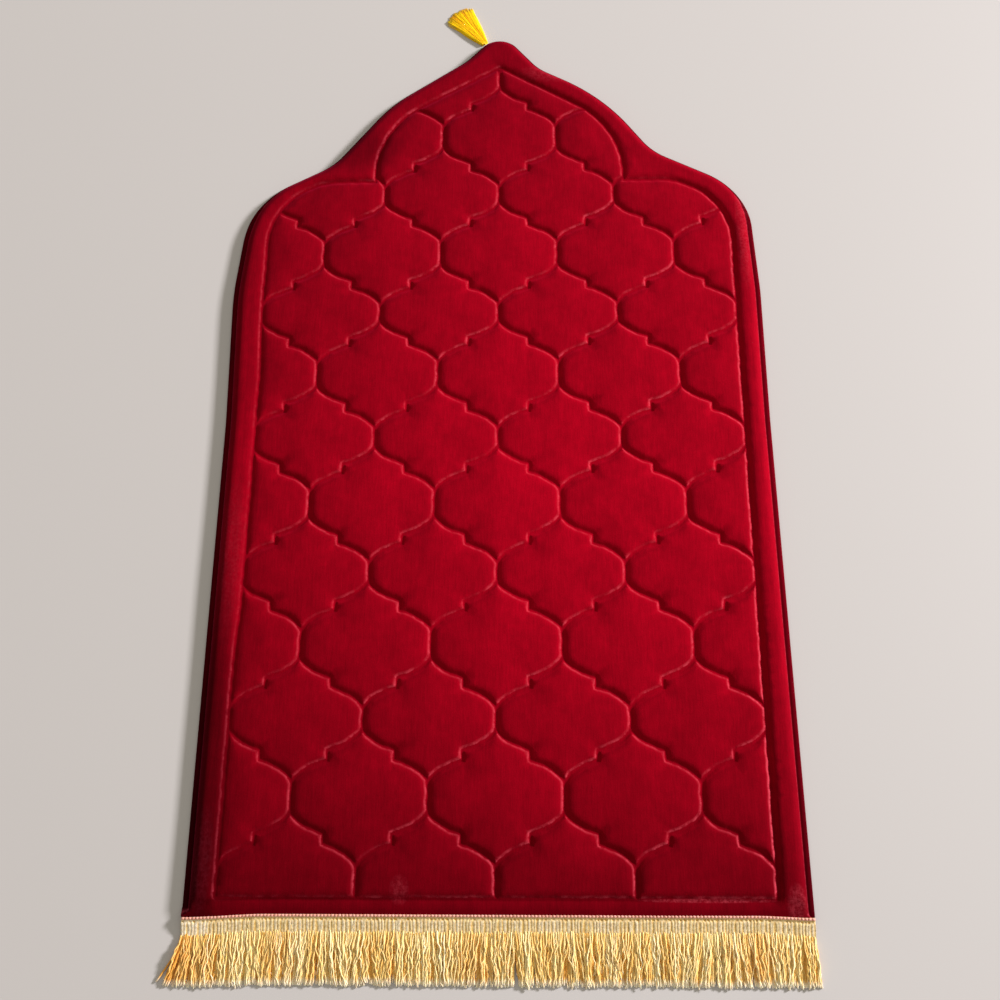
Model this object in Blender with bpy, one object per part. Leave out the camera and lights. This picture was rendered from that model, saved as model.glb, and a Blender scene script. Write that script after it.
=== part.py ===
"""Arched prayer mat with a pressed lantern trellis, a fringed foot and a tassel at its tip.

Metres, +Z up. The mat lies flat on its underside at z = 0, its arch towards +Y. The shapes are worked
out in the mat's own plan, where y = 0 is the foot and x = 0 the middle column of the trellis, and the
finished pieces are then centred on the origin.
"""
import math
import random
from collections import namedtuple

import bmesh
import bpy
import numpy as np
from mathutils import Matrix, Vector
from mathutils.geometry import delaunay_2d_cdt

# ---------------------------------------------------------------- driving dimensions
GAP = 0.0003                   # clearance between neighbouring pieces

PLATEAU = 0.0130               # thickness of the padded cells
GROOVE_FLOOR = 0.0080          # thickness left under a pressed line
GROOVE_HALF = 0.0050           # from a pressed line to its shoulder
RIM_HEIGHT = 0.0040            # height of the sewn rim at the outline
END_HEIGHT = 0.0055            # height of the foot, where the fringe is sewn on

CELL_PITCH = 0.1429            # one lantern cell to the next along a row
ROW_PITCH = 0.0815             # one row of cells to the next
ROW_BIAS = 0.0021              # even rows are this much taller, each way, than odd ones
TOP_ROW_Y = 0.934              # middle of row 0 above the foot
FIRST_ROW = -2                 # the highest row that reaches under the arch
LAST_ROW = 11                  # the lowest row, cut by the border line
SIDE_COLUMNS = 3               # columns laid out each side of the middle one
STRETCH_FROM = 0.70            # above this height the rows grow taller
STRETCH = 0.156                # how fast they grow, per metre
WAVE_RISE = 0.0272             # half the rise of a cell's curved side
NOTCH_HALF = 0.0052            # half the height of the step in that side
BEND = (0.0090, 0.0130)        # control point of the curve between a cell's top and the step
WAVE_STEPS = 5                 # straight pieces in that curve

ARC_ANGLE = math.radians(11)   # most that an outline turns at one point
ARC_LENGTH = 0.0035            # shortest straight piece of an arc
SIDE_STEP = 0.055              # longest straight piece of the outline
LINE_STEP = 0.0275             # longest straight piece of the border line
TRELLIS_STEP = 0.0150          # longest straight piece of the trellis
MITRE_LIMIT = 1.2              # keeps the corners of a moved line from running out too far
WELD = 0.0003                  # points of the face closer than this are one

Corner = namedtuple("Corner", "x y radius")

# Outline from the foot to the tip, each corner rounded by its radius.
RIGHT_SIDE = [
    Corner(0.3220, 0.0000, 0.006),     # foot
    Corner(0.3165, 0.5500, 0.600),     # flank
    Corner(0.3170, 0.7200, 0.400),     # upper flank
    Corner(0.3100, 0.8620, 0.097),     # shoulder
    Corner(0.1935, 0.9220, 0.079),     # neck
    Corner(0.1320, 1.0075, 0.247),     # lobe
    Corner(0.0500, 1.0525, 0.062),     # upper neck
]
TIP = Corner(0.0000, 1.1130, 0.029)
LEFT_SIDE = [
    Corner(-0.3200, 0.0000, 0.006),    # foot
    Corner(-0.3200, 0.5500, 0.600),    # flank
    Corner(-0.3250, 0.7200, 0.400),    # upper flank
    Corner(-0.3135, 0.8485, 0.106),    # shoulder
    Corner(-0.2105, 0.9045, 0.090),    # neck
    Corner(-0.1405, 0.9965, 0.186),    # lobe
    Corner(-0.0445, 1.0645, 0.095),    # upper neck
]
# Border line, right half, from the apex to the foot. A radius of 0 keeps a corner sharp.
BORDER = [
    Corner(0.0000, 1.0500, 0.000),             # apex
    Corner(0.1555, 0.9565, 0.121),             # upper lobe
    Corner(0.1555, 0.8755, 0.000),             # cusp
    Corner(2 * CELL_PITCH, 0.8770, 0.088),     # shoulder
    Corner(2 * CELL_PITCH, 0.0170, 0.004),     # foot corner
]

Sag = namedtuple("Sag", "x reach drop")
# The foot droops a little towards its two ends.
FOOT_SAGS = [Sag(-0.320, 0.090, 0.0035), Sag(0.322, 0.060, 0.0020)]

Profile = namedtuple("Profile", "inset height")
# Section of the edge: a low sewn rim, a crease, then the padded roll.
EDGE_SECTION = [Profile(0.0000, RIM_HEIGHT), Profile(0.0055, 0.0052), Profile(0.0120, 0.0115),
                Profile(0.0180, PLATEAU)]
# Section of the foot: the pile is pressed flat where the tape is sewn on.
END_SECTION = [Profile(0.0000, END_HEIGHT), Profile(0.0060, 0.0075), Profile(0.0120, 0.0090),
               Profile(0.0200, PLATEAU)]

HEADING_DEPTH = 0.0180         # width of the woven tape across the foot
HEADING_THICK = 0.0026
HEADING_INSET = 0.0010         # from the mat's corner to the end of the tape
HEADING_ROWS = (0.0, 0.45, 0.85)       # shares of its width where the tape bends
STRANDS = 200                  # locks of the fringe
STRANDS_PER_PANEL = 5          # locks beside each panel of the tape
STRAND_WIDTH = 0.0024
STRAND_HEIGHT = 0.0021
STRAND_LENGTH = 0.0465
STRAND_UNEVEN = 0.035          # share by which lengths differ
STRAND_TAPER = 0.18            # share lost towards the cut end
STRAND_STEPS = 3

Wave = namedtuple("Wave", "sway length phase")
# The locks' tips lean to and fro along the foot.
LEANS = [Wave(0.0016, 0.083, 0.6), Wave(0.0010, 0.047, 0.0)]
# At the two ends they splay outwards.
SPLAYS = [Sag(LEFT_SIDE[0].x, 0.070, -0.0110), Sag(RIGHT_SIDE[0].x, 0.040, 0.0030)]

TASSEL_START = (-0.0128, 1.0859)           # point inside the tip on the tassel's own line
TASSEL_HEADING = math.radians(127.0)       # direction it points, from +X
TASSEL_LENGTH = 0.0600
TASSEL_HEAD = (0.0070, 0.0070, 0.0048)     # width, length and height of the bound root
TASSEL_BACK = (0.75, 0.85)                 # share of that width and height at the seam
TASSEL_COLUMNS = 10
TASSEL_LAYERS = 3
TASSEL_FAN = math.radians(20.0)            # half the angle of the spread
TASSEL_FILL = 0.72                         # share of the fan that the locks cover
TASSEL_INSET = 0.10                        # share of a column left round a lock's root
TASSEL_LOFT = 0.0009                       # rise of one layer above the next along the fan
TASSEL_STEPS = 4
Shorter = namedtuple("Shorter", "side layer uneven")
TASSEL_SHORTER = Shorter(0.16, 0.05, 0.03)     # shares lost to the sides, up the layers, at random
LAYER_CLOSING = 0.12                       # share of the fan lost from one layer to the next
SEED = 11


# ---------------------------------------------------------------- plan curves
def rounded_path(corners):
    """Points round a closed chain of corners, each corner replaced by an arc of its radius."""
    points = []
    for k, corner in enumerate(corners):
        here = Vector((corner.x, corner.y))
        if corner.radius <= 0:
            points.append(here)
            continue
        before = corners[k - 1]
        after = corners[(k + 1) % len(corners)]
        back = (Vector((before.x, before.y)) - here).normalized()
        ahead = (Vector((after.x, after.y)) - here).normalized()
        half = back.angle(ahead) / 2
        centre = here + (back + ahead).normalized() * (corner.radius / math.sin(half))
        reach = corner.radius / math.tan(half)
        first = here + back * reach - centre
        turn = -first.angle_signed(here + ahead * reach - centre)
        most = corner.radius * abs(turn) / ARC_LENGTH
        steps = max(2, math.ceil(min(abs(turn) / ARC_ANGLE, most)))
        start = math.atan2(first.y, first.x)
        for i in range(steps + 1):
            a = start + turn * i / steps
            points.append(centre + corner.radius * Vector((math.cos(a), math.sin(a))))
    return np.array([tuple(p) for p in points])


def closed_up(loop):
    """A closed loop with its first point repeated at the end."""
    return np.vstack([loop, loop[:1]])


def split_long(line, longest):
    """The same open line with its long straight pieces divided evenly."""
    out = []
    for a, b in zip(line[:-1], line[1:]):
        steps = max(1, math.ceil(np.hypot(*(b - a)) / longest))
        out += [a + (b - a) * i / steps for i in range(steps)]
    return np.array(out + [line[-1]])


def eased(t):
    """Smooth rise from 0 to 1."""
    return t * t * (3 - 2 * t)


def foot_line(x):
    """Height of the foot at x in plan: straight, drooping at its two ends."""
    return -sum(sag.drop * eased(max(0.0, 1 - abs(x - sag.x) / sag.reach)) for sag in FOOT_SAGS)


def outline():
    """Closed outline of the mat, anticlockwise."""
    upper = split_long(rounded_path(RIGHT_SIDE + [TIP] + LEFT_SIDE[::-1]), SIDE_STEP)
    foot = [(x, 0.0) for x in tape_stations() if upper[-1][0] < x < upper[0][0]]
    loop = np.vstack([upper, foot])
    for p in loop:
        if p[1] < RIGHT_SIDE[0].radius:
            p[1] += foot_line(p[0])
    return loop


def tape_stations():
    """Places across the foot where the tape has its panels' edges, from left to right."""
    return np.linspace(LEFT_SIDE[0].x + HEADING_INSET, RIGHT_SIDE[0].x - HEADING_INSET,
                       STRANDS // STRANDS_PER_PANEL + 1)


def border_line():
    """Closed pressed line inside the outline, anticlockwise."""
    mirrored = [Corner(-c.x, c.y, c.radius) for c in BORDER[1:]]
    return split_long(closed_up(rounded_path(BORDER[::-1] + mirrored)), LINE_STEP)[:-1]


def half_wave():
    """A cell's side from its top to its flank: a curve, a step and the same curve turned round."""
    top = np.array((0, WAVE_RISE))
    bend = np.array(BEND)
    step = np.array((CELL_PITCH / 4, NOTCH_HALF))
    t = np.linspace(0, 1, WAVE_STEPS + 1)[:, None]
    curve = (1 - t) ** 2 * top + 2 * t * (1 - t) * bend + t * t * step
    turned = (CELL_PITCH / 2, 0) - curve[::-1]
    return np.vstack([curve, turned])


def stretched(line):
    """Rows near the arch are pulled out a little taller."""
    above = np.maximum(0.0, line[:, 1] - STRETCH_FROM)
    return np.c_[line[:, 0], line[:, 1] + STRETCH * above ** 2]


def trellis_lines(border):
    """Every pressed line of the trellis, cut off at the border line."""
    wave = half_wave()
    lines = []
    for row in range(FIRST_ROW, LAST_ROW + 1):
        middle = TOP_ROW_Y - row * ROW_PITCH
        even = row % 2 == 0
        half_height = ROW_PITCH / 2 + (ROW_BIAS if even else -ROW_BIAS)
        straight = half_height - WAVE_RISE
        low = 0.0 if row == LAST_ROW else middle - straight
        for column in range(-SIDE_COLUMNS, SIDE_COLUMNS + 1):
            x = column * CELL_PITCH + (0 if even else CELL_PITCH / 2)
            side = x + CELL_PITCH / 2
            lines.append(np.array([(side, low), (side, middle + straight)]))
            if not even:
                continue
            for across in (-1, 1):
                for up in (-1, 1):
                    lines.append(np.c_[x + across * wave[:, 0], middle + up * (half_height + wave[:, 1])])
    return [piece for line in lines for piece in clipped(stretched(line), border)]


def inside(point, loop):
    """Whether a plan point lies inside a closed loop."""
    a, b = loop, np.roll(loop, -1, axis=0)
    spans = (a[:, 1] > point[1]) != (b[:, 1] > point[1])
    a, b = a[spans], b[spans]
    crossing = a[:, 0] + (point[1] - a[:, 1]) / (b[:, 1] - a[:, 1]) * (b[:, 0] - a[:, 0])
    return np.count_nonzero(crossing > point[0]) % 2 == 1


def crossing_point(inner, outer, loop):
    """Where the way from a point inside the loop to one outside it crosses the loop."""
    for _ in range(40):
        middle = (inner + outer) / 2
        if inside(middle, loop):
            inner = middle
        else:
            outer = middle
    return inner


def clipped(line, loop):
    """The runs of a line that lie inside a loop, each ending on the loop."""
    line = split_long(line, TRELLIS_STEP)
    keep = [inside(p, loop) for p in line]
    runs, run = [], []
    for k, p in enumerate(line):
        if keep[k]:
            if not run and k:
                run.append(crossing_point(p, line[k - 1], loop))
            run.append(p)
        elif run:
            run.append(crossing_point(line[k - 1], p, loop))
            runs.append(np.array(run))
            run = []
    if len(run) > 1:
        runs.append(np.array(run))
    return runs


def distance(points, lines):
    """Shortest plan distance from each point to a set of lines."""
    starts = np.vstack([line[:-1] for line in lines])
    spans = np.vstack([line[1:] for line in lines]) - starts
    lengths = np.maximum((spans ** 2).sum(axis=1), 1e-14)
    offset = points[:, None, :] - starts
    along = np.clip((offset * spans).sum(axis=2) / lengths, 0, 1)
    away = offset - along[..., None] * spans
    return np.sqrt((away ** 2).sum(axis=2).min(axis=1))


def beside(line, offset, closed=False):
    """The line moved sideways, to its left for a positive offset, with its corners kept sharp."""
    ahead = np.roll(line, -1, axis=0) - line
    back = np.roll(ahead, 1, axis=0)
    if not closed:
        ahead[-1] = ahead[-2]
        back[0] = ahead[0]
    normals = []
    for way in (back, ahead):
        way = way / np.hypot(way[:, 0], way[:, 1])[:, None]
        normals.append(np.c_[-way[:, 1], way[:, 0]])
    both = normals[0] + normals[1]
    return line + 2 * offset * both / np.maximum((both ** 2).sum(axis=1), MITRE_LIMIT)[:, None]


# ---------------------------------------------------------------- the padded mat
class Plan:
    """Points and edges that the mat's face is triangulated through."""

    def __init__(self):
        self.points = []
        self.edges = []

    def add(self, line, keep=None):
        """Lay a line through the plan, broken where a point isn't kept."""
        previous = None
        for k, (x, y) in enumerate(line):
            if keep is not None and not keep[k]:
                previous = None
                continue
            self.points.append(Vector((float(x), float(y))))
            here = len(self.points) - 1
            if previous is not None:
                self.edges.append((previous, here))
            previous = here


def face_height(points, grooves, rim):
    """Height of the mat's face over plan points: pressed lines, padded cells and the rolled edge."""
    inset = distance(points, [rim])
    above_foot = points[:, 1] - np.array([foot_line(x) for x in points[:, 0]])
    height = np.minimum(np.interp(inset, *zip(*EDGE_SECTION)), np.interp(above_foot, *zip(*END_SECTION)))
    floor = np.minimum(GROOVE_FLOOR, height)
    return floor + (height - floor) * eased(np.clip(distance(points, grooves) / GROOVE_HALF, 0, 1))


def face_plan(loop, grooves):
    """Lines for the mat's face: outline, pressed lines, their shoulders and the rings of the edge."""
    plan = Plan()
    plan.add(closed_up(loop))
    for line in grooves:
        plan.add(line)
    for line in grooves:
        for side in (-1, 1):
            shoulder = beside(line, side * GROOVE_HALF)
            plan.add(shoulder, distance(shoulder, grooves) > GROOVE_HALF * 0.93)
    for profile in EDGE_SECTION[1:3]:
        ring = closed_up(beside(loop, profile.inset, closed=True))
        clear = distance(ring, [closed_up(loop)]) > profile.inset * 0.9
        plan.add(ring, clear & (distance(ring, grooves) > GROOVE_HALF * 1.6))
    return plan


def make_mat(loop):
    """One padded sheet: its face triangulated through the pressed lines, a wall and a flat base."""
    border = border_line()
    grooves = [closed_up(border)] + trellis_lines(border)
    plan = face_plan(loop, grooves)
    flat, _, faces, *_ = delaunay_2d_cdt(plan.points, plan.edges, [], 1, 1e-5)
    spots = np.array([tuple(p) for p in flat])
    heights = face_height(spots, grooves, rim_line(loop))

    mesh = bmesh.new()
    verts = [mesh.verts.new((x, y, z)) for (x, y), z in zip(spots, heights)]
    for face in faces:
        mesh.faces.new([verts[i] for i in face])
    bmesh.ops.remove_doubles(mesh, verts=mesh.verts, dist=WELD)
    bmesh.ops.dissolve_degenerate(mesh, edges=mesh.edges, dist=WELD)
    bmesh.ops.triangulate(mesh, faces=mesh.faces)
    close_underside(mesh)
    return finish_object("mat", mesh, "plush_red", (0.42, 0.005, 0.022), 0.9)


def rim_line(loop):
    """The outline without its foot, as an open line from the right foot corner round to the left."""
    low = RIGHT_SIDE[0].radius
    start = next(k for k in range(len(loop)) if loop[k][1] < low <= loop[(k + 1) % len(loop)][1])
    turned = np.roll(loop, -start - 1, axis=0)
    return turned[turned[:, 1] >= low]


def close_underside(mesh):
    """Drop a wall from the open edge of a face to the floor and fill it flat."""
    for vert in [v for v in mesh.verts if not v.link_faces]:
        mesh.verts.remove(vert)
    edge = [e for e in mesh.edges if len(e.link_faces) == 1]
    wall = bmesh.ops.extrude_edge_only(mesh, edges=edge)["geom"]
    lower = {g for g in wall if isinstance(g, bmesh.types.BMVert)}
    for vert in lower:
        vert.co.z = 0.0
    base = [g for g in wall if isinstance(g, bmesh.types.BMEdge) and lower.issuperset(g.verts)]
    bmesh.ops.triangle_fill(mesh, edges=base, use_beauty=True)
    bmesh.ops.recalc_face_normals(mesh, faces=mesh.faces)


# ---------------------------------------------------------------- fringe
def strand_sway(x, share):
    """Sideways lean of a lock rooted at x, this share of the way to its cut end."""
    lean = sum(w.sway * math.sin(2 * math.pi * x / w.length + w.phase) for w in LEANS)
    splay = sum(s.drop * max(0.0, 1 - abs(x - s.x) / s.reach) ** 2 for s in SPLAYS)
    return (lean + splay) * share ** 1.4


def heading_height(share):
    """Height of the tape's face from the mat (0) to the locks (1): it drops from the foot to the floor."""
    start = END_HEIGHT + GAP
    return start + (HEADING_THICK - start) * eased(share)


def tape_point(mesh, x, share, z):
    """A point of the tape, this share of its width away from the mat's foot."""
    return mesh.verts.new((x, foot_line(x) - GAP - HEADING_DEPTH * share, z))


def tape_body(mesh):
    """Coarse rows of top and bottom points across the tape, joined into panels behind its front."""
    stations = tape_stations()
    rows = []
    for share in HEADING_ROWS:
        top = heading_height(share)
        rows.append([(tape_point(mesh, x, share, top), tape_point(mesh, x, share, top - HEADING_THICK))
                     for x in stations])
    for near, far in zip(rows[:-1], rows[1:]):
        for k in range(len(stations) - 1):
            for side in (0, 1):
                mesh.faces.new((near[k][side], far[k][side], far[k + 1][side], near[k + 1][side]))
    for a, b in zip(rows[0][:-1], rows[0][1:]):
        mesh.faces.new((a[0], b[0], b[1], a[1]))
    return rows


def tape_front(mesh):
    """The tape's front wall, with a triangle left open at each lock's root."""
    left, *_, right = tape_stations()
    pitch = (right - left) / STRANDS
    ridges, feet = [], []
    for i in range(STRANDS):
        x = left + pitch * (i + 0.5)
        ridges.append(tape_point(mesh, x, 1.0, HEADING_THICK))
        feet.append([tape_point(mesh, x + side * STRAND_WIDTH / 2, 1.0, 0.0) for side in (-1, 1)])
    ends = [(tape_point(mesh, x, 1.0, HEADING_THICK), tape_point(mesh, x, 1.0, 0.0))
            for x in (left, right)]
    for i in range(STRANDS - 1):
        mesh.faces.new((ridges[i], feet[i][1], feet[i + 1][0], ridges[i + 1]))
    mesh.faces.new((ends[0][0], ends[0][1], feet[0][0], ridges[0]))
    mesh.faces.new((ridges[-1], feet[-1][1], ends[1][1], ends[1][0]))
    return ridges, feet, ends


def join_front(mesh, last, ridges, feet, ends):
    """Panels between the last coarse row and the front wall, over and under the tape."""
    tops = [ends[0][0]] + ridges + [ends[1][0]]
    lows = [ends[0][1]] + [foot for pair in feet for foot in pair] + [ends[1][1]]
    panels = len(last) - 1
    for k in range(panels):
        first = k * STRANDS_PER_PANEL
        stop = first + STRANDS_PER_PANEL
        extra = 1 if k == panels - 1 else 0
        top = tops[first:stop + 1 + extra]
        low = lows[2 * first:2 * stop + 1 + extra]
        mesh.faces.new([last[k + 1][0], last[k][0]] + top)
        mesh.faces.new([last[k][1], last[k + 1][1]] + low[::-1])


def make_fringe():
    """A woven tape along the foot with a row of locks lying on the floor in front of it."""
    rng = random.Random(SEED)
    mesh = bmesh.new()
    rows = tape_body(mesh)
    ridges, feet, ends = tape_front(mesh)
    join_front(mesh, rows[-1], ridges, feet, ends)
    for k, end in ((0, ends[0]), (-1, ends[1])):
        mesh.faces.new([row[k][0] for row in rows] + list(end) + [row[k][1] for row in rows[::-1]])
    for ridge, pair in zip(ridges, feet):
        length = STRAND_LENGTH * (1 + STRAND_UNEVEN * rng.uniform(-1, 1))
        add_lock(mesh, [*pair, ridge], length)
    bmesh.ops.recalc_face_normals(mesh, faces=mesh.faces)
    return finish_object("fringe", mesh, "gold_yarn", (0.62, 0.41, 0.13), 0.6)


def add_lock(mesh, ring, length):
    """A three-sided lock on the floor, grown from its root triangle in the tape's front wall."""
    _, start, _ = ring[2].co
    middle = (ring[0].co.x + ring[1].co.x) / 2
    for step in range(1, STRAND_STEPS + 1):
        share = step / STRAND_STEPS
        size = 1 - STRAND_TAPER * share
        x = middle + strand_sway(middle, share)
        y = start - length * share
        half = STRAND_WIDTH / 2 * size
        section = [(x - half, 0.0), (x + half, 0.0), (x, STRAND_HEIGHT * size)]
        further = [mesh.verts.new((across, y, up)) for across, up in section]
        for a, b in ((0, 1), (1, 2), (2, 0)):
            mesh.faces.new((ring[a], ring[b], further[b], further[a]))
        ring = further
    mesh.faces.new(ring)


# ---------------------------------------------------------------- tassel
def tassel_head(mesh):
    """The bound root, pointing along +Y, with a grid of faces in front for the locks."""
    width, depth, height = TASSEL_HEAD
    columns = [width * (c / TASSEL_COLUMNS - 0.5) for c in range(TASSEL_COLUMNS + 1)]
    levels = [height * k / TASSEL_LAYERS for k in range(TASSEL_LAYERS + 1)]
    grid = [[mesh.verts.new((x, depth, z)) for x in columns] for z in levels]
    roots = []
    for low, high in zip(grid[:-1], grid[1:]):
        for c in range(TASSEL_COLUMNS):
            roots.append(mesh.faces.new((low[c], low[c + 1], high[c + 1], high[c])))
    rim = grid[0] + [row[-1] for row in grid[1:-1]] + grid[-1][::-1] + [row[0] for row in grid[-2:0:-1]]
    back = [mesh.verts.new((v.co.x * TASSEL_BACK[0], 0.0, v.co.z * TASSEL_BACK[1])) for v in rim]
    for k in range(len(rim)):
        after = (k + 1) % len(rim)
        mesh.faces.new((rim[k], back[k], back[after], rim[after]))
    mesh.faces.new(back)
    bmesh.ops.recalc_face_normals(mesh, faces=mesh.faces)
    bmesh.ops.inset_individual(mesh, faces=roots, thickness=width / TASSEL_COLUMNS * TASSEL_INSET)
    return roots


def tassel_root(loop):
    """Where the back of the head just clears the outline on the tassel's own line."""
    start = np.array(TASSEL_START)
    along = np.array((math.cos(TASSEL_HEADING), math.sin(TASSEL_HEADING)))
    across = np.array((along[1], -along[0])) * TASSEL_HEAD[0] * TASSEL_BACK[0] / 2
    reaches = []
    for corner in (start - across, start, start + across):
        crossing = crossing_point(corner, corner + along * TASSEL_LENGTH, loop)
        reaches.append(np.hypot(*(crossing - corner)))
    return start + along * (max(reaches) + GAP)


def make_tassel(loop):
    """Bound root with a fan of locks, the lowest layer lying level on the floor."""
    rng = random.Random(SEED + 1)
    mesh = bmesh.new()
    for k, root in enumerate(tassel_head(mesh)):
        layer, column = divmod(k, TASSEL_COLUMNS)
        side = 2 * (column + 0.5) / TASSEL_COLUMNS - 1
        length = TASSEL_LENGTH * (1 - TASSEL_SHORTER.side * side ** 2) * (1 - TASSEL_SHORTER.layer * layer)
        length = length * (1 + TASSEL_SHORTER.uneven * rng.uniform(-1, 1)) - TASSEL_HEAD[1]
        grow_lock(mesh, root, side * TASSEL_FAN * (1 - LAYER_CLOSING * layer), length, layer)
    tassel = finish_object("tassel", mesh, "yellow_yarn", (0.85, 0.55, 0.02), 0.6)
    root = Vector((*tassel_root(loop), 0.0))
    turn = Matrix.Rotation(TASSEL_HEADING - math.pi / 2, 4, "Z")
    tassel.data.transform(Matrix.Translation(root) @ turn)
    return tassel


def grow_lock(mesh, face, angle, length, layer):
    """Extrude one lock from its root face, widening along its own direction of the fan."""
    start = face.calc_center_median()
    corners = [v.co - start for v in face.verts]
    half_root = max(c.x for c in corners)
    root_pitch = TASSEL_HEAD[0] / TASSEL_COLUMNS
    fan_step = 2 * TASSEL_FAN * (1 - LAYER_CLOSING * layer) / TASSEL_COLUMNS
    for step in range(1, TASSEL_STEPS + 1):
        share = step / TASSEL_STEPS
        reach = length * share
        half = TASSEL_FILL * (root_pitch + reach * fan_step) / 2
        lift = layer * TASSEL_LOFT * math.sin(math.pi * share)
        centre = start + Vector((reach * math.sin(angle), reach * math.cos(angle), lift))
        face = bmesh.ops.extrude_discrete_faces(mesh, faces=[face])["faces"][0]
        for vert, corner in zip(face.verts, corners):
            across = corner.x / half_root * half
            vert.co = centre + Vector((across * math.cos(angle), -across * math.sin(angle), corner.z))


# ---------------------------------------------------------------- finishing
def finish_object(name, mesh, material_name, colour, roughness):
    """Turn a finished mesh into a named object with its own plain material."""
    data = bpy.data.meshes.new(name)
    mesh.to_mesh(data)
    mesh.free()
    part = bpy.data.objects.new(name, data)
    bpy.context.collection.objects.link(part)
    material = bpy.data.materials.new(material_name)
    material.use_nodes = True
    shader = material.node_tree.nodes["Principled BSDF"]
    shader.inputs["Base Color"].default_value = (*colour, 1.0)
    shader.inputs["Roughness"].default_value = roughness
    shader.inputs["Metallic"].default_value = 0.0
    data.materials.append(material)
    return part


def centre_on_origin(parts):
    """Move the finished pieces together so that the middle of their plan is at the origin."""
    corners = np.array([vert.co for part in parts for vert in part.data.vertices])
    middle = (corners.min(axis=0) + corners.max(axis=0)) / 2
    for part in parts:
        part.location = (-middle[0], -middle[1], 0.0)


def main():
    for old in list(bpy.data.objects):
        bpy.data.objects.remove(old, do_unlink=True)
    loop = outline()
    centre_on_origin([make_mat(loop), make_fringe(), make_tassel(loop)])


main()
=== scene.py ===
"""Plush prayer mat with a pressed lantern trellis, a fringed heading at its foot and a tassel at its tip."""

import math
from collections import defaultdict, namedtuple

import bmesh
import bpy
import numpy as np
from bpy.props import FloatProperty, FloatVectorProperty, IntProperty, PointerProperty
from mathutils import Euler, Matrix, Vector
from mathutils.geometry import delaunay_2d_cdt


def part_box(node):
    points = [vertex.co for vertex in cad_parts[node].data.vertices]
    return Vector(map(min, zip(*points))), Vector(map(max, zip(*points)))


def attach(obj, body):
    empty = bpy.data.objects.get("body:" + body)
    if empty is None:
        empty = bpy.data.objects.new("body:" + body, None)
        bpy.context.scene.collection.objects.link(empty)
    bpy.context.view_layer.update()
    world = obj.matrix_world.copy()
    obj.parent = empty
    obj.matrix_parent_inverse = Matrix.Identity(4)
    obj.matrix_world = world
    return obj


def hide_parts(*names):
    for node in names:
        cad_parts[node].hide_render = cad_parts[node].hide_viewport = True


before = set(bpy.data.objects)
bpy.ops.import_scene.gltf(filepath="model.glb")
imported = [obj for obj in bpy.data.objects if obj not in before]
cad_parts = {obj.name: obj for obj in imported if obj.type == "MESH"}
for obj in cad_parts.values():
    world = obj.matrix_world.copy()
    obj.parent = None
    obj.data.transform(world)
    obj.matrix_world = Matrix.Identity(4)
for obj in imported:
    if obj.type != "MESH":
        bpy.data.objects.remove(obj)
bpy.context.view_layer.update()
MAT_LOW, MAT_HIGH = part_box("mat")

bl_info = {
    "name": "Arched prayer mat",
    "version": (1, 0, 0),
    "blender": (4, 5, 0),
    "location": "3D View > Sidebar > Mat",
    "description": "Builds a padded prayer mat with its fringe, tassel and studio",
    "category": "Object",
}


def rows(kind, *table):
    """A named row for each line of a table."""
    return [kind(*line) for line in table]


# ---------- the mat's plan, y = 0 at the foot
CELL_PITCH = 0.1429  # one lantern cell to the next along a row
ROW_PITCH = 0.0815  # one row of cells to the next
ROW_BIAS = 0.0021  # even rows are this much taller, each way, than odd ones
TOP_ROW_Y = 0.934  # middle of row 0 above the foot
FIRST_ROW = -2  # the highest row that reaches under the arch
LAST_ROW = 11  # the lowest row, cut by the border line
SIDE_COLUMNS = 3  # columns laid out each side of the middle one
STRETCH_FROM = 0.70  # above this height the rows grow taller
STRETCH = 0.156  # how fast they grow, per metre
WAVE_RISE = 0.0272  # half the rise of a cell's curved side
NOTCH_HALF = 0.0052  # half the height of the step in that side
BEND = (0.0090, 0.0130)  # control point of the curve between a cell's top and the step
WAVE_STEPS = 14  # straight pieces in that curve
ARC_STEP = 0.0025  # length of the straight pieces of an arc
LINE_STEP = 0.0028  # and of a pressed line
SIDE_STEP = 0.0035  # and of the outline

# Outline from the foot to the tip, each corner rounded by its radius.
Corner = namedtuple("Corner", "x y radius")
RIGHT_SIDE = rows(
    Corner,
    (0.3220, 0.0000, 0.006),  # foot
    (0.3165, 0.5500, 0.600),  # flank
    (0.3170, 0.7200, 0.400),  # upper flank
    (0.3100, 0.8620, 0.097),  # shoulder
    (0.1935, 0.9220, 0.079),  # neck
    (0.1320, 1.0075, 0.247),  # lobe
    (0.0500, 1.0525, 0.062),  # upper neck
)
TIP = Corner(0.0000, 1.1130, 0.029)
LEFT_SIDE = rows(
    Corner,
    (-0.3200, 0.0000, 0.006),  # foot
    (-0.3200, 0.5500, 0.600),  # flank
    (-0.3250, 0.7200, 0.400),  # upper flank
    (-0.3135, 0.8485, 0.106),  # shoulder
    (-0.2105, 0.9045, 0.090),  # neck
    (-0.1405, 0.9965, 0.186),  # lobe
    (-0.0445, 1.0645, 0.095),  # upper neck
)
# Border line, right half, from the apex to the foot. A radius of 0 keeps a corner sharp.
BORDER = rows(
    Corner,
    (0.0000, 1.0500, 0.000),  # apex
    (0.1555, 0.9565, 0.121),  # upper lobe
    (0.1555, 0.8755, 0.000),  # cusp
    (2 * CELL_PITCH, 0.8770, 0.088),  # shoulder
    (2 * CELL_PITCH, 0.0170, 0.004),  # foot corner
)
LEFT_BOW = 0.0034  # how far the left border line bows inwards
BOW_MIDDLE = 0.475  # around this height
BOW_REACH = 0.22  # this far each way
BOW_FADE = 0.09  # fading over this distance
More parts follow.
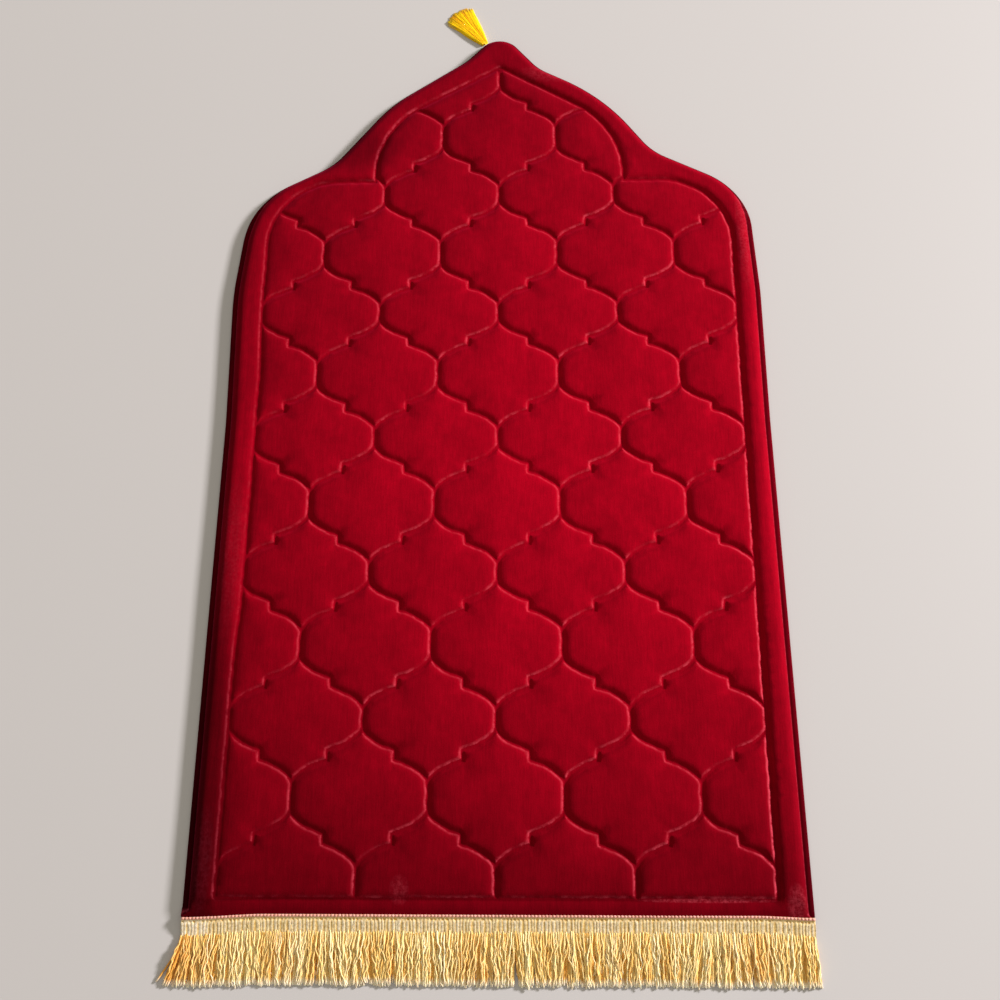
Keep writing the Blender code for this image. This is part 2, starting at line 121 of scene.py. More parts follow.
# What happens around one place along the foot, fading out within its reach.
Patch = namedtuple("Patch", "x reach amount")
FOOT_SAGS = rows(Patch, (-0.320, 0.090, 0.0035), (0.322, 0.060, 0.0020))  # how the foot's two ends droop

# ---------- sections, in metres
# Across a pressed line, past its flat bottom: 1 - exp(-(distance / width) ** power) of its depth is regained.
GROOVE_FLAT = 0.0006
GROOVE_WIDTH = 0.0036
GROOVE_POWER = 1.6
GROOVE_RINGS = (0.0008, 0.0016, 0.0024, 0.0033, 0.0043, 0.0056, 0.0076, 0.0112)
SHALLOWEST = 0.0014  # least depth of a pressed line where the foot is low
WOBBLE = 0.00022  # how far the pressed lines wander
Wave = namedtuple("Wave", "across up start size")
# The slow waves of that wandering, in radians per metre, sideways and up the mat.
WANDER_ACROSS = rows(Wave, (205, 88, 0.0, 1.0), (-121, 338, 1.7, 1.0), (470, 390, 0.6, 0.7))
WANDER_UP = rows(Wave, (-97, 188, 2.9, 1.0), (321, 143, 0.0, 1.0), (-410, 455, 4.1, 0.7))
BORDER_FROM = 0.262  # this far from the middle the border line's own depth sets in
BORDER_FADE = 0.02  # over this distance
LEFT_SHALLOWER = 0.25  # share that the left border line is shallower
RIGHT_DEEPER = 0.30  # share that the right one is deeper near the foot
DEEPER_BELOW = 0.42  # below this height
DEEPER_FADE = 0.20  # setting in over this distance

# From the outline inwards: a turned seam rim, a crease and the padded roll.
Profile = namedtuple("Profile", "inset height")
EDGE_SECTION = rows(
    Profile, (0.0000, 0.0020), (0.0006, 0.0033), (0.0018, 0.0040), (0.0036, 0.0042), (0.0050, 0.0041),
    (0.0060, 0.0038), (0.0066, 0.0040), (0.0072, 0.0053), (0.0082, 0.0074), (0.0098, 0.0092),
    (0.0125, 0.0110), (0.0160, 0.0122), (0.0205, 0.0127), (0.0250, 0.0125), (0.0320, 0.0117),
)
# The foot is pressed flat where the tape is sewn on.
END_SECTION = rows(
    Profile, (0.0000, 0.0055), (0.0040, 0.0072), (0.0080, 0.0084), (0.0125, 0.0090), (0.0165, 0.0096),
    (0.0200, 0.0115), (0.0240, 0.0120),
)
NEAR = 0.00025  # points closer than this are laid as one
FILL_PITCH = 0.0070  # spacing of the points between the pressed lines
PRESS_REACH = 0.0080  # how far beside a pressed line the mask for the painted lips and shade reaches
CELL_CROWN = 0.0016  # rise of a cell's middle
CROWN_FROM = 0.004  # which starts this far from a pressed line
CROWN_FADE = 0.032  # reaches its height over this distance
CROWN_INSET = 0.034  # and keeps this far from the outline
ROLL_FADE = 0.02  # within this distance of the outline the padding evens out
SWELL_BROAD, SWELL_CLOSE = 0.00035, 0.00018  # how uneven the padding is, in broad swells and in closer ones
RING_CLEAR = 0.96  # rows of points keep this share of their own distance from every other line
EDGE_CLEAR = 0.004  # and this far from the outline
INSET_CLEAR = 0.97  # rows along the outline keep this share of their own distance from it
SPARSE_FROM = 0.004  # rows farther than this from their line have half as many points
FILL_CLEAR = 0.4  # share of its pitch that the fill keeps from those rows
SAME_PLACE = 1e-5  # the triangulation takes points closer than this as one
RIM_WIDTH = 0.0074  # the darker seam cloth outside the roll
RIM_BLUR = 0.0012  # over which its colour fades out
TUCK = 0.0050  # how far that cloth is tucked under the roll round the arch
TUCK_FROM = 0.800  # the tuck grows from this height
TUCK_RISE = 0.070  # over this distance

# ---------- painted light and shade on the pile
PAINTED_LIGHT_HEADING = math.radians(22)  # direction of the lamp in plan, which the painted highlights face
PAINTED_SHADE_TURN = 2.4  # from it round to the facing that gets the darkest painted shade, in radians
THIN_HIGHLIGHT_TURN = -0.9  # and round to the sides of the lines that get the thinner painted highlight
Mark = namedtuple("Mark", "x y width height strength")
# Patches where the pile has been brushed the other way, shown as painted sheen in the lips' pale colour.
BRUSHED_SHEEN_MARKS = rows(
    Mark,
    (-0.298, 0.380, 0.014, 0.110, 0.06), (-0.302, 0.055, 0.012, 0.060, 0.10),
    (-0.098, 0.026, 0.011, 0.016, 0.15), (0.304, 0.013, 0.011, 0.022, 0.26),
    (0.215, 0.0165, 0.075, 0.0024, 0.36), (0.070, 1.040, 0.050, 0.016, 0.14),
    (0.300, 0.800, 0.010, 0.090, 0.12),
)
# And broad patches of painted shade that darken the pile.
SHADE_MARKS = rows(Mark, (-0.195, 0.925, 0.080, 0.040, 0.60), (-0.303, 0.130, 0.022, 0.260, 0.86))

# ---------- heading
TAPE_INSET = 0.0010  # from the mat's corner to the end of the tape
TAPE_THICK = 0.0011
TAPE_COLUMNS = 1420  # points along the tape
BEADS = 177  # beads of the corded edge
HOLES = 160  # gaps of the open row under it
RIBS = 177  # woven ribs that run on into the yarns
BEAD_RISE = 0.0013
HOLE_DROP = 0.0012
RIB_RISE = 0.0005
RIB_RAGGED = 0.0030  # how unevenly the ribs end
RAGGED_FROM = 0.0120  # from this depth below the foot
RAGGED_FADE = 0.0065  # over this distance
RIB_LEAN = 0.0005  # how far they lean sideways
RIB_TONES = 0.20  # how much their tones differ
RIB_SIZES = (0.7, 1.2)  # and their heights
RIB_TOP, RIB_PLIES = 0.84, 0.16  # share of a rib's height below its two plies, and theirs
DRIFT, DRIFT_KNOTS = 0.0012, 90  # how far they drift along the tape, in shares of it, and how slowly
HOLE_SIZES = (0.2, 1.0)  # how much of its depth a gap of the open row has
PALE_FROM, PALE_FADE = 0.285, 0.01  # the left end of the tape is paler from here, over this distance
PALE_SHARE = 0.25  # by this much of the tones
# Across the tape from the corded edge, over the foot, down to the floor.
TapeRow = namedtuple("TapeRow", "y height bead hole rib tone")
TAPE = rows(
    TapeRow,
    (0.0027, 0.0058, 0.0, 0.0, 0.0, 0.60), (0.0023, 0.0064, 0.7, 0.0, 0.0, 0.80),
    (0.0014, 0.0067, 1.0, 0.0, 0.0, 0.85), (0.0004, 0.0066, 0.9, 0.0, 0.0, 0.70),
    (-0.0004, 0.0063, 0.2, 0.2, 0.0, 0.55), (-0.0014, 0.0061, 0.0, 1.0, 0.0, 0.60),
    (-0.0026, 0.0059, 0.0, 0.9, 0.3, 0.66), (-0.0036, 0.0057, 0.0, 0.1, 0.8, 0.76),
    (-0.0054, 0.0052, 0.0, 0.0, 1.0, 0.80), (-0.0078, 0.0044, 0.0, 0.0, 1.0, 0.80),
    (-0.0105, 0.0036, 0.0, 0.0, 1.0, 0.78), (-0.0135, 0.0030, 0.0, 0.0, 1.0, 0.70),
    (-0.0160, 0.0026, 0.0, 0.0, 1.0, 0.60), (-0.0185, 0.0022, 0.0, 0.0, 0.8, 0.50),
)

# ---------- fringe and tassel
SEED = 11
WAVE = 6.28  # one wave along a yarn, in radians
YARN_STEPS = 16  # rings along a yarn
YARN_SIDES = 5
ALONG = np.linspace(0, 1, YARN_STEPS)  # how far along its yarn each ring lies
YARN_SUNK = 0.0004  # how deep the yarns start in the tape's face
YARN_ROOTS = (0.2, 0.25)  # share of the ribs' rise that the lowest layer starts at, and each next one adds
LEAN_CURVE = 1.4  # how their lean grows along them
SETTLE = 0.55  # share of its height that a yarn loses over its outer half
FRAYED = 0.30  # share of its thickness that it loses at its end
CURL, CURL_TURNS = 0.42, 2.9  # a finer wave along a yarn: its share of the sway, and times its turns
CRINKLE = 0.16  # share of the sway that each ring is off by itself
TWIST, TWIST_TURNS = 0.12, 7.3  # how a yarn's thickness varies with its twist
CLUMPS = 72  # bunches that the yarns gather in
CLUMP_STEP = 0.0019  # how unevenly they stand
CLUMP_LEAN = 0.0030  # how differently they lean
CLUMP_WAVE = (0.0014, 75.7, 0.6)  # size, turns and start of a slow wave in that lean
CLUMP_TONE, CLUMP_LIFT = 0.12, 0.0004  # how differently they are coloured and lie
STRAYS = 0.16  # share of yarns that leave their bunch
STRAY_GATHER = 0.1  # how much those still gather
STRAY_LEAN = 0.0060  # how differently they lean
STRAY_SHORT = 0.012  # and how much shorter they may be
END_SHORT = (0.26, 0.06, 0.0018)  # the yarns at the ends are shorter: from here, over this distance, by this


class Uneven:
    """How unevenly the single yarns lie: spreads of normal draws, or ranges of even ones."""
    root = 0.0005  # where a yarn starts along the tape
    start = (-0.0015, 0.0020)  # and how far down it
    bunch = 0.0014  # which bunch it finds
    lean, gather, cut, rest = 0.0010, 0.0006, 0.0011, 0.0003
    turns = (0.9, 2.2)  # waves along it
    sway, curl = (0.3, 1.0), (0.2, 1.0)  # shares of its layer's sway
    bob = (0.0002, 0.0008)  # how far it rises and falls
    thickness = (0.75, 1.2)  # shares of its layer's radius
    tone = 0.11


Layer = namedtuple("Layer", "count radius rise tone start sway gather")
# Layers of yarn from the floor up; the lower layers' deeper tones are partly ochre yarn and partly painted
# shade between the strands.
LAYERS = rows(
    Layer,
    (680, 0.00120, 0.0011, 0.12, -0.0170, 0.0003, 0.1),
    (560, 0.00095, 0.0024, 0.28, -0.0165, 0.0007, 0.2),
    (440, 0.00080, 0.0035, 0.50, -0.0158, 0.0011, 0.5),
    (250, 0.00072, 0.0044, 0.70, -0.0145, 0.0016, 0.7),
)
OCHRE_PATCHES = rows(
    Patch, (-0.314, 0.021, 0.80), (-0.212, 0.020, 0.45), (-0.020, 0.018, 0.30), (0.120, 0.014, 0.20),
    (0.258, 0.018, 0.50),
)
SPLAYS = rows(Patch, (-0.320, 0.060, -0.0150), (0.322, 0.040, 0.0035))  # how far the fringe's two ends spread

TASSEL_START = (-0.0128, 1.0859)  # point inside the tip on the tassel's own line
TASSEL_HEADING = math.radians(126.0)  # direction it points, from +X
TASSEL_ROOT = 0.0120  # from that point to the seam
TASSEL_NECK = 0.0034  # half the width of its gathered root
TASSEL_YARN = 0.00074  # radius of its yarns
TASSEL_BOW, TASSEL_SPREAD, TASSEL_LIFT = 0.0010, 0.0016, 0.0002  # how unevenly they bow, spread and lie
TASSEL_LENGTHS = 0.02  # and how unevenly they are cut, as a share
UPPER_NARROWER, UPPER_SHORTER = 0.2, 0.05  # shares by which the uppermost yarns fan out less and are shorter
OUTER_SHORTER = 0.10  # share by which the outermost ones are shorter
TASSEL_TONE, TASSEL_BANDS, TASSEL_TONES = 0.62, 0.28, 0.18  # mean tone, its bands through the fan, its spread
TASSEL_BAND_WAVE = (7.5, 1.6)  # turns and start of those bands
TASSEL_LOWEST, TASSEL_LOFT = 0.0006, 0.0026  # height of its lowest yarns and of the rest above them
TASSEL_ARCH, TASSEL_FALL = (0.85, 0.35), 0.45  # how that height arches along it, and what it loses
TASSEL_SIZES, TASSEL_FRAYED = (0.8, 1.2), 0.4  # shares of its yarns' radius, and what it loses

# ---------- finishes
NOISE_SPAN = (0.35, 0.65)  # between these values most of a noise lies
GOLD_STOPS = (0.0, 0.35, 0.70, 1.0)  # tones at which the golden yarn's colours stand
OCHRE_TINT = (0.92, 0.66, 0.35)

# ---------- camera and light
CAMERA_PLACE = (0.03297, -0.03556, 1.31170)  # in the plan's own frame
CAMERA_TURN = (20.384, 1.2385, 0.2551)  # degrees about X, Y and Z
SENSOR_WIDTH = 36.0
LAMP_AZIMUTH = math.radians(22)
LAMP_ELEVATION = math.radians(20)
LAMP_AWAY = 10.0
LAMP_SIZE = (1.9, 1.0)
LAMP_TINT = (1.0, 0.975, 1.0)
SKY_TINT = (1.0, 0.955, 0.84)
FLOOR_SIZE = 12.0


# ---------- plan curves
def rounded_path(corners):
    """Points round a closed chain of corners, each corner replaced by an arc of its radius."""
    points = []
    for k, corner in enumerate(corners):
        here = Vector((corner.x, corner.y))
        if corner.radius <= 0:
            points.append(here)
            continue
        before = corners[k - 1]
        after = corners[(k + 1) % len(corners)]
        back = (Vector((before.x, before.y)) - here).normalized()
        ahead = (Vector((after.x, after.y)) - here).normalized()
        half = back.angle(ahead) / 2
        centre = here + (back + ahead).normalized() * (corner.radius / math.sin(half))
        reach = corner.radius / math.tan(half)
        first = here + back * reach - centre
        turn = -first.angle_signed(here + ahead * reach - centre)
        steps = max(3, math.ceil(corner.radius * abs(turn) / ARC_STEP))
        start = math.atan2(first.y, first.x)
        for i in range(steps + 1):
            a = start + turn * i / steps
            points.append(centre + corner.radius * Vector((math.cos(a), math.sin(a))))
    return np.array([tuple(p) for p in points])


def closed_up(loop):
    """A closed loop with its first point repeated at the end."""
    return np.vstack([loop, loop[:1]])


def split_long(line, longest):
    """The same open line with its long straight pieces divided evenly."""
    out = []
    for a, b in zip(line[:-1], line[1:]):
        steps = max(1, math.ceil(np.hypot(*(b - a)) / longest))
        out += [a + (b - a) * i / steps for i in range(steps)]
    return np.array(out + [line[-1]])


def eased(t):
    """Smooth rise from 0 to 1, flat outside."""
    t = np.clip(t, 0, 1)
    return t * t * (3 - 2 * t)


def foot_line(x):
    """Height of the foot at x in plan: straight, drooping at its two ends."""
    return -sum(sag.amount * eased(1 - np.abs(x - sag.x) / sag.reach) for sag in FOOT_SAGS)


def outline():
    """Closed outline of the mat, anticlockwise."""
    loop = split_long(closed_up(rounded_path(RIGHT_SIDE + [TIP] + LEFT_SIDE[::-1])), SIDE_STEP)[:-1]
    low = loop[:, 1] < RIGHT_SIDE[0].radius
    loop[low, 1] += foot_line(loop[low, 0])
    return loop


def border_line():
    """Closed pressed line inside the outline, anticlockwise."""
    mirrored = [Corner(-c.x, c.y, c.radius) for c in BORDER[1:]]
    line = split_long(closed_up(rounded_path(BORDER[::-1] + mirrored)), LINE_STEP)[:-1]
    bow = eased((BOW_REACH - np.abs(line[:, 1] - BOW_MIDDLE)) / BOW_FADE)
    line[:, 0] += LEFT_BOW * bow * (line[:, 0] < 0)
    return line


def half_wave():
    """A cell's side from its top to its flank: a curve, a step and the same curve turned round."""
    top = np.array((0, WAVE_RISE))
    bend = np.array(BEND)
    step = np.array((CELL_PITCH / 4, NOTCH_HALF))
    t = np.linspace(0, 1, WAVE_STEPS + 1)[:, None]
    curve = (1 - t) ** 2 * top + 2 * t * (1 - t) * bend + t * t * step
    turned = (CELL_PITCH / 2, 0) - curve[::-1]
    return np.vstack([curve, turned])


def stretched(line):
    """Rows near the arch are pulled out a little taller."""
    above = np.maximum(0.0, line[:, 1] - STRETCH_FROM)
    return np.c_[line[:, 0], line[:, 1] + STRETCH * above ** 2]


def trellis_lines(border):
    """Every pressed line of the trellis, cut off at the border line."""
    wave = half_wave()
    lines = []
    for row in range(FIRST_ROW, LAST_ROW + 1):
        middle = TOP_ROW_Y - row * ROW_PITCH
        even = row % 2 == 0
        half_height = ROW_PITCH / 2 + (ROW_BIAS if even else -ROW_BIAS)
        straight = half_height - WAVE_RISE
        low = 0.0 if row == LAST_ROW else middle - straight
        for column in range(-SIDE_COLUMNS, SIDE_COLUMNS + 1):
            x = column * CELL_PITCH + (0 if even else CELL_PITCH / 2)
            side = x + CELL_PITCH / 2
            lines.append(np.array([(side, low), (side, middle + straight)]))
            if not even:
                continue
            for across in (-1, 1):
                for up in (-1, 1):
                    lines.append(np.c_[x + across * wave[:, 0], middle + up * (half_height + wave[:, 1])])
    return [piece for line in lines for piece in clipped(stretched(line), border)]


def inside(points, loop):
    """Whether each plan point lies inside a closed loop."""
    a, b = loop, np.roll(loop, -1, axis=0)
    rise = np.where(b[:, 1] == a[:, 1], 1.0, b[:, 1] - a[:, 1])
    x, y = np.atleast_2d(points).T[..., None]
    spans = (a[:, 1] > y) != (b[:, 1] > y)
    crossing = a[:, 0] + (y - a[:, 1]) / rise * (b[:, 0] - a[:, 0])
    return (spans & (crossing > x)).sum(axis=1) % 2 == 1


def crossing_point(inner, outer, loop):
    """Where the way from a point inside the loop to one outside it crosses the loop, by halving."""
    for _ in range(16):
        middle = (inner + outer) / 2
        if inside(middle, loop)[0]:
            inner = middle
        else:
            outer = middle
    return inner


def clipped(line, loop):
    """The runs of a line that lie inside a loop, each ending on the loop."""
    line = split_long(line, LINE_STEP)
    keep = inside(line, loop)
    runs, run = [], []
    for k, p in enumerate(line):
        if keep[k]:
            if not run and k:
                run.append(crossing_point(p, line[k - 1], loop))
            run.append(p)
        elif run:
            run.append(crossing_point(line[k - 1], p, loop))
            runs.append(np.array(run))
            run = []
    if run:
        runs.append(np.array(run))
    runs = [distinct(run) for run in runs]
    return [run for run in runs if len(run) > 2]


def distinct(line):
    """The same line without points that repeat the one before."""
    steps = np.abs(np.diff(line, axis=0)).max(axis=1)
    return line[np.append(True, steps > NEAR)]


def wobbled(line):
    """The line with the small unevenness of its pressing."""
    x, y = line.T
    sideways, upwards = (sum(wave.size * np.sin(wave.across * x + wave.up * y + wave.start) for wave in table)
                         for table in (WANDER_ACROSS, WANDER_UP))
    return line + WOBBLE * np.c_[sideways, upwards]


def beside(line, offset, closed=False):
    """The line moved sideways, to its left for a positive offset, with its corners kept sharp."""
    ahead = np.roll(line, -1, axis=0) - line
    back = np.roll(ahead, 1, axis=0)
    if not closed:
        ahead[-1] = ahead[-2]
        back[0] = ahead[0]
    normals = []
    for way in (back, ahead):
        way = way / np.hypot(way[:, 0], way[:, 1])[:, None]
        normals.append(np.c_[-way[:, 1], way[:, 0]])
    both = normals[0] + normals[1]
    return line + 2 * offset * both / np.maximum((both ** 2).sum(axis=1), 1.2)[:, None]


class Nearness:
    """Shortest plan distance from points to a set of lines, worked out bin by bin and capped at a reach."""

    def __init__(self, lines, reach=0.036):
        self.reach = reach
        self.starts = np.vstack([line[:-1] for line in lines])
        self.spans = np.vstack([line[1:] for line in lines]) - self.starts
        self.lengths = np.maximum((self.spans ** 2).sum(axis=1), 1e-14)
        self.bins = defaultdict(list)
        for k, (i, j) in enumerate(self.cell(self.starts + self.spans / 2)):
            for near_i in (i - 1, i, i + 1):
                for near_j in (j - 1, j, j + 1):
                    self.bins[near_i, near_j].append(k)

    def cell(self, points):
        """The bin of each point, a little wider than the reach."""
        return np.floor(points / (self.reach * 1.1)).astype(int)

    def __call__(self, points):
        cells, member = np.unique(self.cell(points), axis=0, return_inverse=True)
        member = member.ravel()
        order = np.argsort(member, kind="stable")
        groups = np.split(order, np.searchsorted(member[order], np.arange(1, len(cells))))
        found = np.full(len(points), self.reach)
        for cell, group in zip(cells, groups):
            near = self.bins.get(tuple(cell))
            if near is None:
                continue
            offset = points[group][:, None] - self.starts[near]
            along = np.clip((offset * self.spans[near]).sum(axis=2) / self.lengths[near], 0, 1)
            away = offset - along[..., None] * self.spans[near]
            found[group] = np.minimum(np.sqrt((away ** 2).sum(axis=2).min(axis=1)), self.reach)
        return found


def section_height(section, distance):
    """Height of a section at each distance, on a smooth curve through its rows."""
    insets, heights = np.array(section).T
    slopes = np.gradient(heights, insets)
    k = np.clip(np.searchsorted(insets, distance, side="right") - 1, 0, len(insets) - 2)
    width = insets[k + 1] - insets[k]
    t = np.clip((distance - insets[k]) / width, 0, 1)
    start = heights[k] * (1 - eased(t)) + heights[k + 1] * eased(t)
    return start + width * (slopes[k] * t * (1 - t) ** 2 - slopes[k + 1] * t * t * (1 - t)) * (t < 1)


# ---------- pieces
def plan_offset():
    """From the plan's frame to the part's frame: where the plan's origin lies."""
    loop = outline()
    return Vector((MAT_LOW.x - loop[:, 0].min(), MAT_LOW.y - loop[:, 1].min(), 0.0))


def linked(name, data):
    """A new object at the origin that shows a mesh, a lamp or a camera."""
    item = bpy.data.objects.new(name, data)
    bpy.context.scene.collection.objects.link(item)
    return item


def set_attribute(piece, name, values):
    """One number for each vertex, for the materials to read."""
    layer = piece.data.attributes.new(name, "FLOAT", "POINT")
    layer.data.foreach_set("value", np.asarray(values, np.float32))


def dress(piece, material):
    """Give a finished piece its material and smooth faces, and attach it to the root body."""
    piece.data.materials.append(material)
    piece.data.polygons.foreach_set("use_smooth", [True] * len(piece.data.polygons))
    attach(piece, "root")


# ---------- the padded mat
class FacePlan:
    """Points and edges that the mat's face is triangulated through. Points closer than NEAR are one."""

    def __init__(self):
        self.points = []
        self.edges = []
        self.cells = {}

    def index_of(self, x, y):
        """The number of the point here, made if there is none."""
        column, row = int(x // NEAR), int(y // NEAR)
        for i in (column, column - 1, column + 1):
            for j in (row, row - 1, row + 1):
                known = self.cells.get((i, j))
                if known is not None and math.dist(self.points[known], (x, y)) < NEAR:
                    return known
        self.points.append((x, y))
        self.cells[column, row] = len(self.points) - 1
        return len(self.points) - 1

    def add(self, line, keep=None):
        """Lay a line through the plan, broken where a point isn't kept."""
        previous = None
        for k, (x, y) in enumerate(line):
            if keep is not None and not keep[k]:
                previous = None
                continue
            here = self.index_of(float(x), float(y))
            if previous is not None and previous != here:
                self.edges.append((previous, here))
            previous = here


def rim_line(loop):
    """The outline without its foot, as an open line from the right foot corner round to the left."""
    low = RIGHT_SIDE[0].radius
    start = next(k for k in range(len(loop)) if loop[k][1] < low <= loop[(k + 1) % len(loop)][1])
    turned = np.roll(loop, -start - 1, axis=0)
    return turned[turned[:, 1] >= low]


def lay_rings(plan, loop, grooves, to_groove, to_outline):
    """Rows of points beside every pressed line and inside the outline."""
    for offset in GROOVE_RINGS:
        for line in grooves:
            for side in (-1, 1):
                row = beside(line, side * offset)
                clear = (to_groove(row) > offset * RING_CLEAR) & (to_outline(row) > EDGE_CLEAR)
                if offset > SPARSE_FROM:
                    clear &= np.arange(len(row)) % 2 == 0
                plan.add(row, clear)
    for profile in EDGE_SECTION[1:]:
        ring = beside(loop, profile.inset, closed=True)
        clear = (to_outline(ring) > profile.inset * INSET_CLEAR) & (to_groove(ring) > GROOVE_RINGS[-2])
        plan.add(closed_up(ring), np.append(clear, clear[0]))


def lay_fill(plan, loop, to_groove, to_outline):
    """Evenly spread points over the middles of the cells."""
    low, high = loop.min(axis=0), loop.max(axis=0)
    heights = np.arange(low[1], high[1], FILL_PITCH * math.sqrt(0.75))
    spots = np.array([(x + (k % 2) * FILL_PITCH / 2, y) for k, y in enumerate(heights)
                      for x in np.arange(low[0], high[0], FILL_PITCH)])
    spots = spots[inside(spots, loop)]
    spots = spots[to_groove(spots) > GROOVE_RINGS[-1] + FILL_PITCH * FILL_CLEAR]
    for spot in spots[to_outline(spots) > EDGE_SECTION[-1].inset + FILL_PITCH * FILL_CLEAR]:
        plan.add([spot])


def swell(points):
    """Slow unevenness of the padding, in metres."""
    x, y = points[:, 0], points[:, 1]
    broad = np.sin(11.0 * x + 3.1 * y + 0.4) * np.sin(7.3 * y + 1.1)
    close = np.sin(31.0 * x - 9.0 * y + 2.0) * np.sin(27.0 * y + 5.0 * x)
    return SWELL_BROAD * broad + SWELL_CLOSE * close


def tuck(points):
    """How far the seam rim is tucked under the roll at each plan point."""
    return TUCK * eased((points[:, 1] - TUCK_FROM) / TUCK_RISE)


def press_share(points):
    """How deep the lines are pressed: less at the left border, more low on the right one."""
    x, y = points[:, 0], points[:, 1]
    left, right = (eased((side * x - BORDER_FROM) / BORDER_FADE) for side in (-1, 1))
    low_right = right * eased((DEEPER_BELOW - y) / DEEPER_FADE)
    return 1 - LEFT_SHALLOWER * left + RIGHT_DEEPER * low_right


def face_height(points, pressed, inset, above_foot, depth):
    """Height of the mat's face: pressed lines, crowned cells and the rolled edge."""
    crown = CELL_CROWN * eased((pressed - CROWN_FROM) / CROWN_FADE) * (inset > CROWN_INSET)
    rolled = section_height(EDGE_SECTION, np.minimum(inset + tuck(points), EDGE_SECTION[-1].inset))
    height = np.minimum(rolled, section_height(END_SECTION, above_foot))
    height = height + (crown + swell(points)) * eased(inset / ROLL_FADE)
    floor = np.minimum(EDGE_SECTION[-1].height - depth * press_share(points), height - SHALLOWEST)
    rise = 1 - np.exp(-(np.maximum(0, pressed - GROOVE_FLAT) / GROOVE_WIDTH) ** GROOVE_POWER)
    return floor + (height - floor) * rise


def close_underside(mesh):
    """Drop a wall from the open edge of the face to the floor and fill it flat."""
    for vert in [v for v in mesh.verts if not v.link_faces]:
        mesh.verts.remove(vert)
    edge = [e for e in mesh.edges if len(e.link_faces) == 1]
    wall = bmesh.ops.extrude_edge_only(mesh, edges=edge)["geom"]
    lower = {g for g in wall if isinstance(g, bmesh.types.BMVert)}
    for vert in lower:
        vert.co.z = 0.0
    base = [g for g in wall if isinstance(g, bmesh.types.BMEdge) and lower.issuperset(g.verts)]
    bmesh.ops.triangle_fill(mesh, edges=base, use_beauty=True)
    bmesh.ops.recalc_face_normals(mesh, faces=mesh.faces)


def triangulated(plan, loop, to_outline):
    """Points and triangles of the plan, without the triangles that lie outside the outline."""
    flat, _, faces, *_ = delaunay_2d_cdt([Vector(p) for p in plan.points], plan.edges, [], 0, SAME_PLACE)
    spots = np.array([tuple(p) for p in flat])
    faces = np.array(faces)
    doubtful = np.flatnonzero((to_outline(spots) < SAME_PLACE)[faces].all(axis=1))
    outer = doubtful[~inside(spots[faces[doubtful]].mean(axis=1), loop)]
    return spots, np.delete(faces, outer, axis=0)


def model_mat(depth):
    """The mat's face through all its pressed lines, with its wall and base."""
    loop = outline()
    border = border_line()
    grooves = [wobbled(line) for line in [closed_up(border)] + trellis_lines(border)]
    to_groove = Nearness(grooves)
    to_outline = Nearness([closed_up(loop)])
    plan = FacePlan()
    plan.add(closed_up(loop))
    for line in grooves:
        plan.add(line)
    lay_rings(plan, loop, grooves, to_groove, to_outline)
    lay_fill(plan, loop, to_groove, to_outline)
    spots, faces = triangulated(plan, loop, to_outline)
    to_rim = Nearness([rim_line(loop)])
    above_foot = spots[:, 1] - foot_line(spots[:, 0])
    heights = face_height(spots, to_groove(spots), to_rim(spots), above_foot, depth)

    shift = plan_offset()
    mesh = bmesh.new()
    verts = [mesh.verts.new((x + shift.x, y + shift.y, z)) for (x, y), z in zip(spots, heights)]
    for face in faces:
        mesh.faces.new([verts[i] for i in face])
    close_underside(mesh)
    data = bpy.data.meshes.new("mat_plush")
    mesh.to_mesh(data)
    mesh.free()
    spots = np.array([v.co for v in data.vertices])[:, :2] - (shift.x, shift.y)
    piece = linked("mat_plush", data)
    set_attribute(piece, "pressed", np.clip(to_groove(spots) / PRESS_REACH, 0, 1))
    set_attribute(piece, "rim", eased((RIM_WIDTH - tuck(spots) - to_rim(spots)) / RIM_BLUR))
    return piece


# ---------- heading
def foot_ends():
    """Left and right end of the tape along the foot."""
    return LEFT_SIDE[0].x + TAPE_INSET, RIGHT_SIDE[0].x - TAPE_INSET


def tape_height(y):
    """Height of the tape's face at a distance below the foot."""
    return np.interp(y, [row.y for row in TAPE[::-1]], [row.height for row in TAPE[::-1]])


def rounded(turns):
    """Round-topped relief that repeats once each turn: 0 in the gaps, 1 on top."""
    return np.sqrt(np.abs(np.sin(np.pi * turns)))


